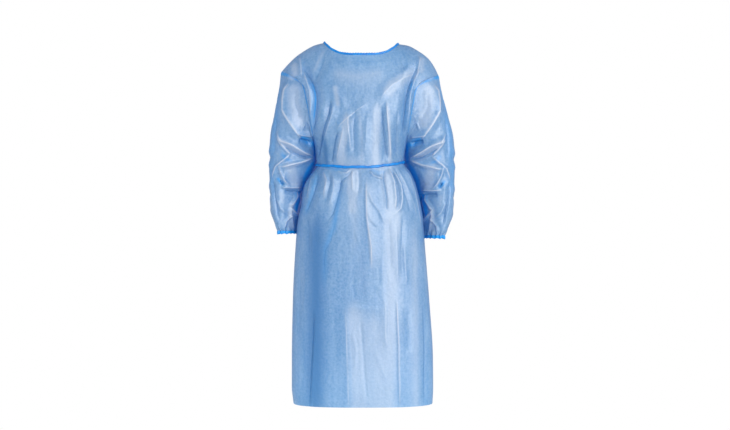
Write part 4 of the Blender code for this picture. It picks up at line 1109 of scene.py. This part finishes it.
def tie_object(name, start, lean, long, phase):
    """A free end of strip: down from its knot, lying just off the back, turning a little."""
    share = np.linspace(0.0, 1.0, TIE_STEPS + 1)
    x = start[0] + lean * ease(share * TIE_SIDEWAYS)
    z = start[2] - long * share
    lying = np.array([back_depth(a, b) for a, b in zip(x, z)]) + TIE_CLEAR + TIE_THICK
    window = 2 * TIE_SMOOTH + 1
    lying = np.convolve(np.pad(lying, TIE_SMOOTH, mode="edge"), np.ones(window) / window, mode="valid")
    y = np.maximum(lying, start[1] + (lying - start[1]) * ease(share / TIE_SETTLE))
    loops = []
    for i in range(TIE_STEPS + 1):
        slow, quick = math.sin(5.0 * share[i] + phase), math.sin(13.0 * share[i])
        twist = TIE_TWIST[0] * slow + TIE_TWIST[1] * quick
        out = np.array((math.sin(twist), math.cos(twist), 0.0))
        side = np.array((math.cos(twist), -math.sin(twist), 0.0))
        wide = TIE_WIDE * (1.0 - TIE_UNEVEN * math.sin(9.0 * share[i] + phase))
        loops.append(rounded_section(np.array((x[i], y[i], z[i])), out, side, TIE_THICK, wide, 12))
    return strip_object(name, loops, False, trim_blue)


def knot_and_ties(where, loops, size, long, lean):
    """A knot seated on the strip behind the gown's middle, with its two ends."""
    behind = np.array([point for loop in loops for point in loop if abs(point[0]) < KNOT_SEAT_WIDE])
    seat = (0.0, behind[:, 1].max() + KNOT_FULL * size[1] / 2, behind[:, 2].mean())
    foot = seat[2] - size[2] / 2 * KNOT_FOOT
    knot = knot_object(where + "_knot_strip", seat, size)
    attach(knot, "root")
    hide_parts(where + "_knot")
    for side, word, pieces in ((LEFT, "left", [knot]), (RIGHT, "right", [])):
        start = (side * TIE_WIDE / 2, seat[1], foot)
        end_long = long * (1.0 + 0.06 * side)
        tie = tie_object(f"{where}_{word}_end", start, side * lean, end_long, side)
        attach(tie, "root")
        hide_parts(f"{where}_tie_{word}")


top = np.concatenate((right_back_grid[-1], front_grid[-1][::-1][1:-1], left_back_grid[-1]))
run = unit(np.gradient(top, axis=0))
sideways = ease((np.abs(top[:, 0]) - BINDING_TURN) / BINDING_TURN_OVER)
lean = np.column_stack((
    -np.sign(top[:, 0]) * BINDING_SIDE_LEAN * sideways,
    -np.sign(top[:, 1]) * BINDING_LEAN * (1 - sideways),
    np.ones(len(top)),
))
lean = unit(lean)
away = unit(np.cross(lean, run))
away *= np.sign(np.sum(away * (top + (0.0, 0.0, 0.05)), axis=1))[:, None]
along = lengths_along(top)
loops = []
for point, up, out, at in zip(top, lean, away, along):
    pinch = math.cos(2 * math.pi * at / STITCH)
    tall = BINDING_TALL * (1.0 + BINDING_PINCH[0] * pinch + BINDING_UNEVEN * math.sin(at * 160))
    thick = BINDING_THICK * (1.0 + BINDING_PINCH[1] * pinch)
    middle = point + up * (tall / 2 - BINDING_OVERLAP)
    loops.append(rounded_section(middle, out, up, thick, tall))
binding = strip_object("neck_binding_strip", loops, False, trim_blue)
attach(binding, "root")
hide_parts("neck_binding")
knot_and_ties("neck", loops[:BACK_COLUMNS], NECK_KNOT, NECK_TIE_LONG, NECK_TIE_LEAN)


# The belt: a long narrow strip of the deeper blue, folded on itself like a flat cord. It goes
# once round the waist over the lap and is tied behind, and its ends hang down the skirt.
BELT_TALL = 0.0078
BELT_THICK = 0.0030
BELT_OUT = 0.0028  # from the cloth to the belt's middle
BELT_KNOT = (0.026, 0.014, 0.017)
BELT_TIE_LONG = 0.255
BELT_TIE_LEAN = 0.020
BELT_CORNERS = 20
BELT_WANDER = (0.0007, 0.0004)  # how far it strays up and down, in slow and quick waves
BELT_UNEVEN_TALL = (0.10, 0.05)  # shares of its height, in slow and quick waves
BELT_UNEVEN_THICK = 0.14  # share of its thickness
BELT_FOLDS = 3  # round its section
BELT_FOLD = 0.10  # how far they stand out, as a share of the section

low, high = SKIRT_ROWS, SKIRT_ROWS + BELT_ROWS
at_lap = int((0.5 - LAP / 2) / (0.5 + LAP / 2) * BACK_COLUMNS) - 1
around = []
for grid, normals, order in (
    (front_grid, front_normals, range(FRONT_COLUMNS + 1)),
    (right_back_grid, right_back_normals, range(BACK_COLUMNS - 1, -1, -1)),
    (left_back_plain, left_back_normals, range(at_lap, 0, -1)),
):
    around += [(grid[low, i], grid[high, i], normals[low, i], normals[high, i]) for i in order]
loops = []
at = 0.0
for i, (foot, head, out_low, out_high) in enumerate(around):
    out, up = unit(out_low + out_high), unit(head - foot)
    wander = BELT_WANDER[0] * math.sin(at * 75) + BELT_WANDER[1] * math.sin(at * 190 + 1)
    slow, quick = math.sin(at * 110), math.sin(at * 310)
    tall = BELT_TALL * (1.0 + BELT_UNEVEN_TALL[0] * slow + BELT_UNEVEN_TALL[1] * quick)
    thick = BELT_THICK * (1.0 + BELT_UNEVEN_THICK * math.sin(at * 140 + 2))
    section = rounded_section(np.zeros(3), out, up, thick, tall, BELT_CORNERS)
    corner = np.arange(BELT_CORNERS)
    turn = BELT_FOLDS * corner * 2 * math.pi / BELT_CORNERS + 1.3 * math.sin(at * 60) + at * 25
    fold = 1.0 + BELT_FOLD * np.cos(turn)
    loops.append((foot + head) / 2 + out * BELT_OUT + up * wander + section * fold[:, None])
    at += float(np.linalg.norm(around[(i + 1) % len(around)][0] - foot))
belt = strip_object("waist_belt_strip", loops, True, trim_blue)
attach(belt, "root")
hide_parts("waist_belt")
knot_and_ties("belt", loops[FRONT_COLUMNS:], BELT_KNOT, BELT_TIE_LONG, BELT_TIE_LEAN)


# The studio: a pale round floor below where the wearer's feet would be, a big soft light in
# front on the right with a small one over it, a weaker one on the left, one at each side, one
# behind, and white paper all round.
FLOOR_HEIGHT = -1.50
FLOOR_RADIUS = 1.20
FLOOR_CORNERS = 96
Light = namedtuple("Light", "name place wide tall power mirrored")
LIGHTS = (
    Light("key", (1.75, -3.9, -0.25), 2.6, 3.0, 140.0, True),
    Light("high right", (2.6, -2.0, 1.3), 1.2, 1.2, 42.0, True),
    Light("fill", (-3.4, -2.3, 0.2), 2.0, 2.6, 68.0, False),
    Light("left side", (-3.4, 0.6, -0.1), 1.6, 2.6, 28.0, False),
    Light("right side", (3.4, 0.6, -0.1), 1.6, 2.6, 26.0, False),
    Light("behind", (-0.8, 3.0, 0.6), 2.8, 2.8, 82.0, False),
)
AIM = (0.0, 0.0, -0.55)  # where every light points
AMBIENT = 0.40  # how much light the paper gives
PAPER_WHITE = (0.94, 0.945, 0.95, 1.0)

turn = np.arange(FLOOR_CORNERS) * 2 * math.pi / FLOOR_CORNERS
corners = [(FLOOR_RADIUS * math.cos(t), FLOOR_RADIUS * math.sin(t), FLOOR_HEIGHT) for t in turn]
floor_mesh = bpy.data.meshes.new("floor")
floor_mesh.from_pydata(corners, [], [tuple(range(FLOOR_CORNERS))])
floor = bpy.data.objects.new("floor", floor_mesh)
bpy.context.scene.collection.objects.link(floor)
paper = bpy.data.materials.new("pale_paper")
paper.use_nodes = True
paper.node_tree.nodes["Principled BSDF"].inputs["Base Color"].default_value = PAPER_WHITE
paper.node_tree.nodes["Principled BSDF"].inputs["Roughness"].default_value = 0.8
floor.data.materials.append(paper)

for light in LIGHTS:
    lamp = bpy.data.lights.new(light.name, "AREA")
    lamp.shape = "RECTANGLE"
    lamp.size = light.wide
    lamp.size_y = light.tall
    lamp.energy = light.power
    held = bpy.data.objects.new(light.name, lamp)
    held.location = light.place
    held.visible_glossy = light.mirrored
    towards = np.array(AIM) - np.array(light.place)
    tilt = math.atan2(np.hypot(towards[0], towards[1]), -towards[2])
    held.rotation_euler = (tilt, 0.0, math.atan2(-towards[0], towards[1]))
    bpy.context.scene.collection.objects.link(held)

world = bpy.data.worlds.new("white_studio")
bpy.context.scene.world = world
world.use_nodes = True
air = Shade(world.node_tree)
seen = air.node("ShaderNodeLightPath", {}, {}, "Is Camera Ray")
backdrop = world.node_tree.nodes["Background"]
backdrop.inputs["Color"].default_value = (1.0, 1.0, 1.0, 1.0)
world.node_tree.links.new((AMBIENT + (1.0 - AMBIENT) * seen).socket, backdrop.inputs["Strength"])
bpy.context.scene.view_settings.view_transform = "Standard"
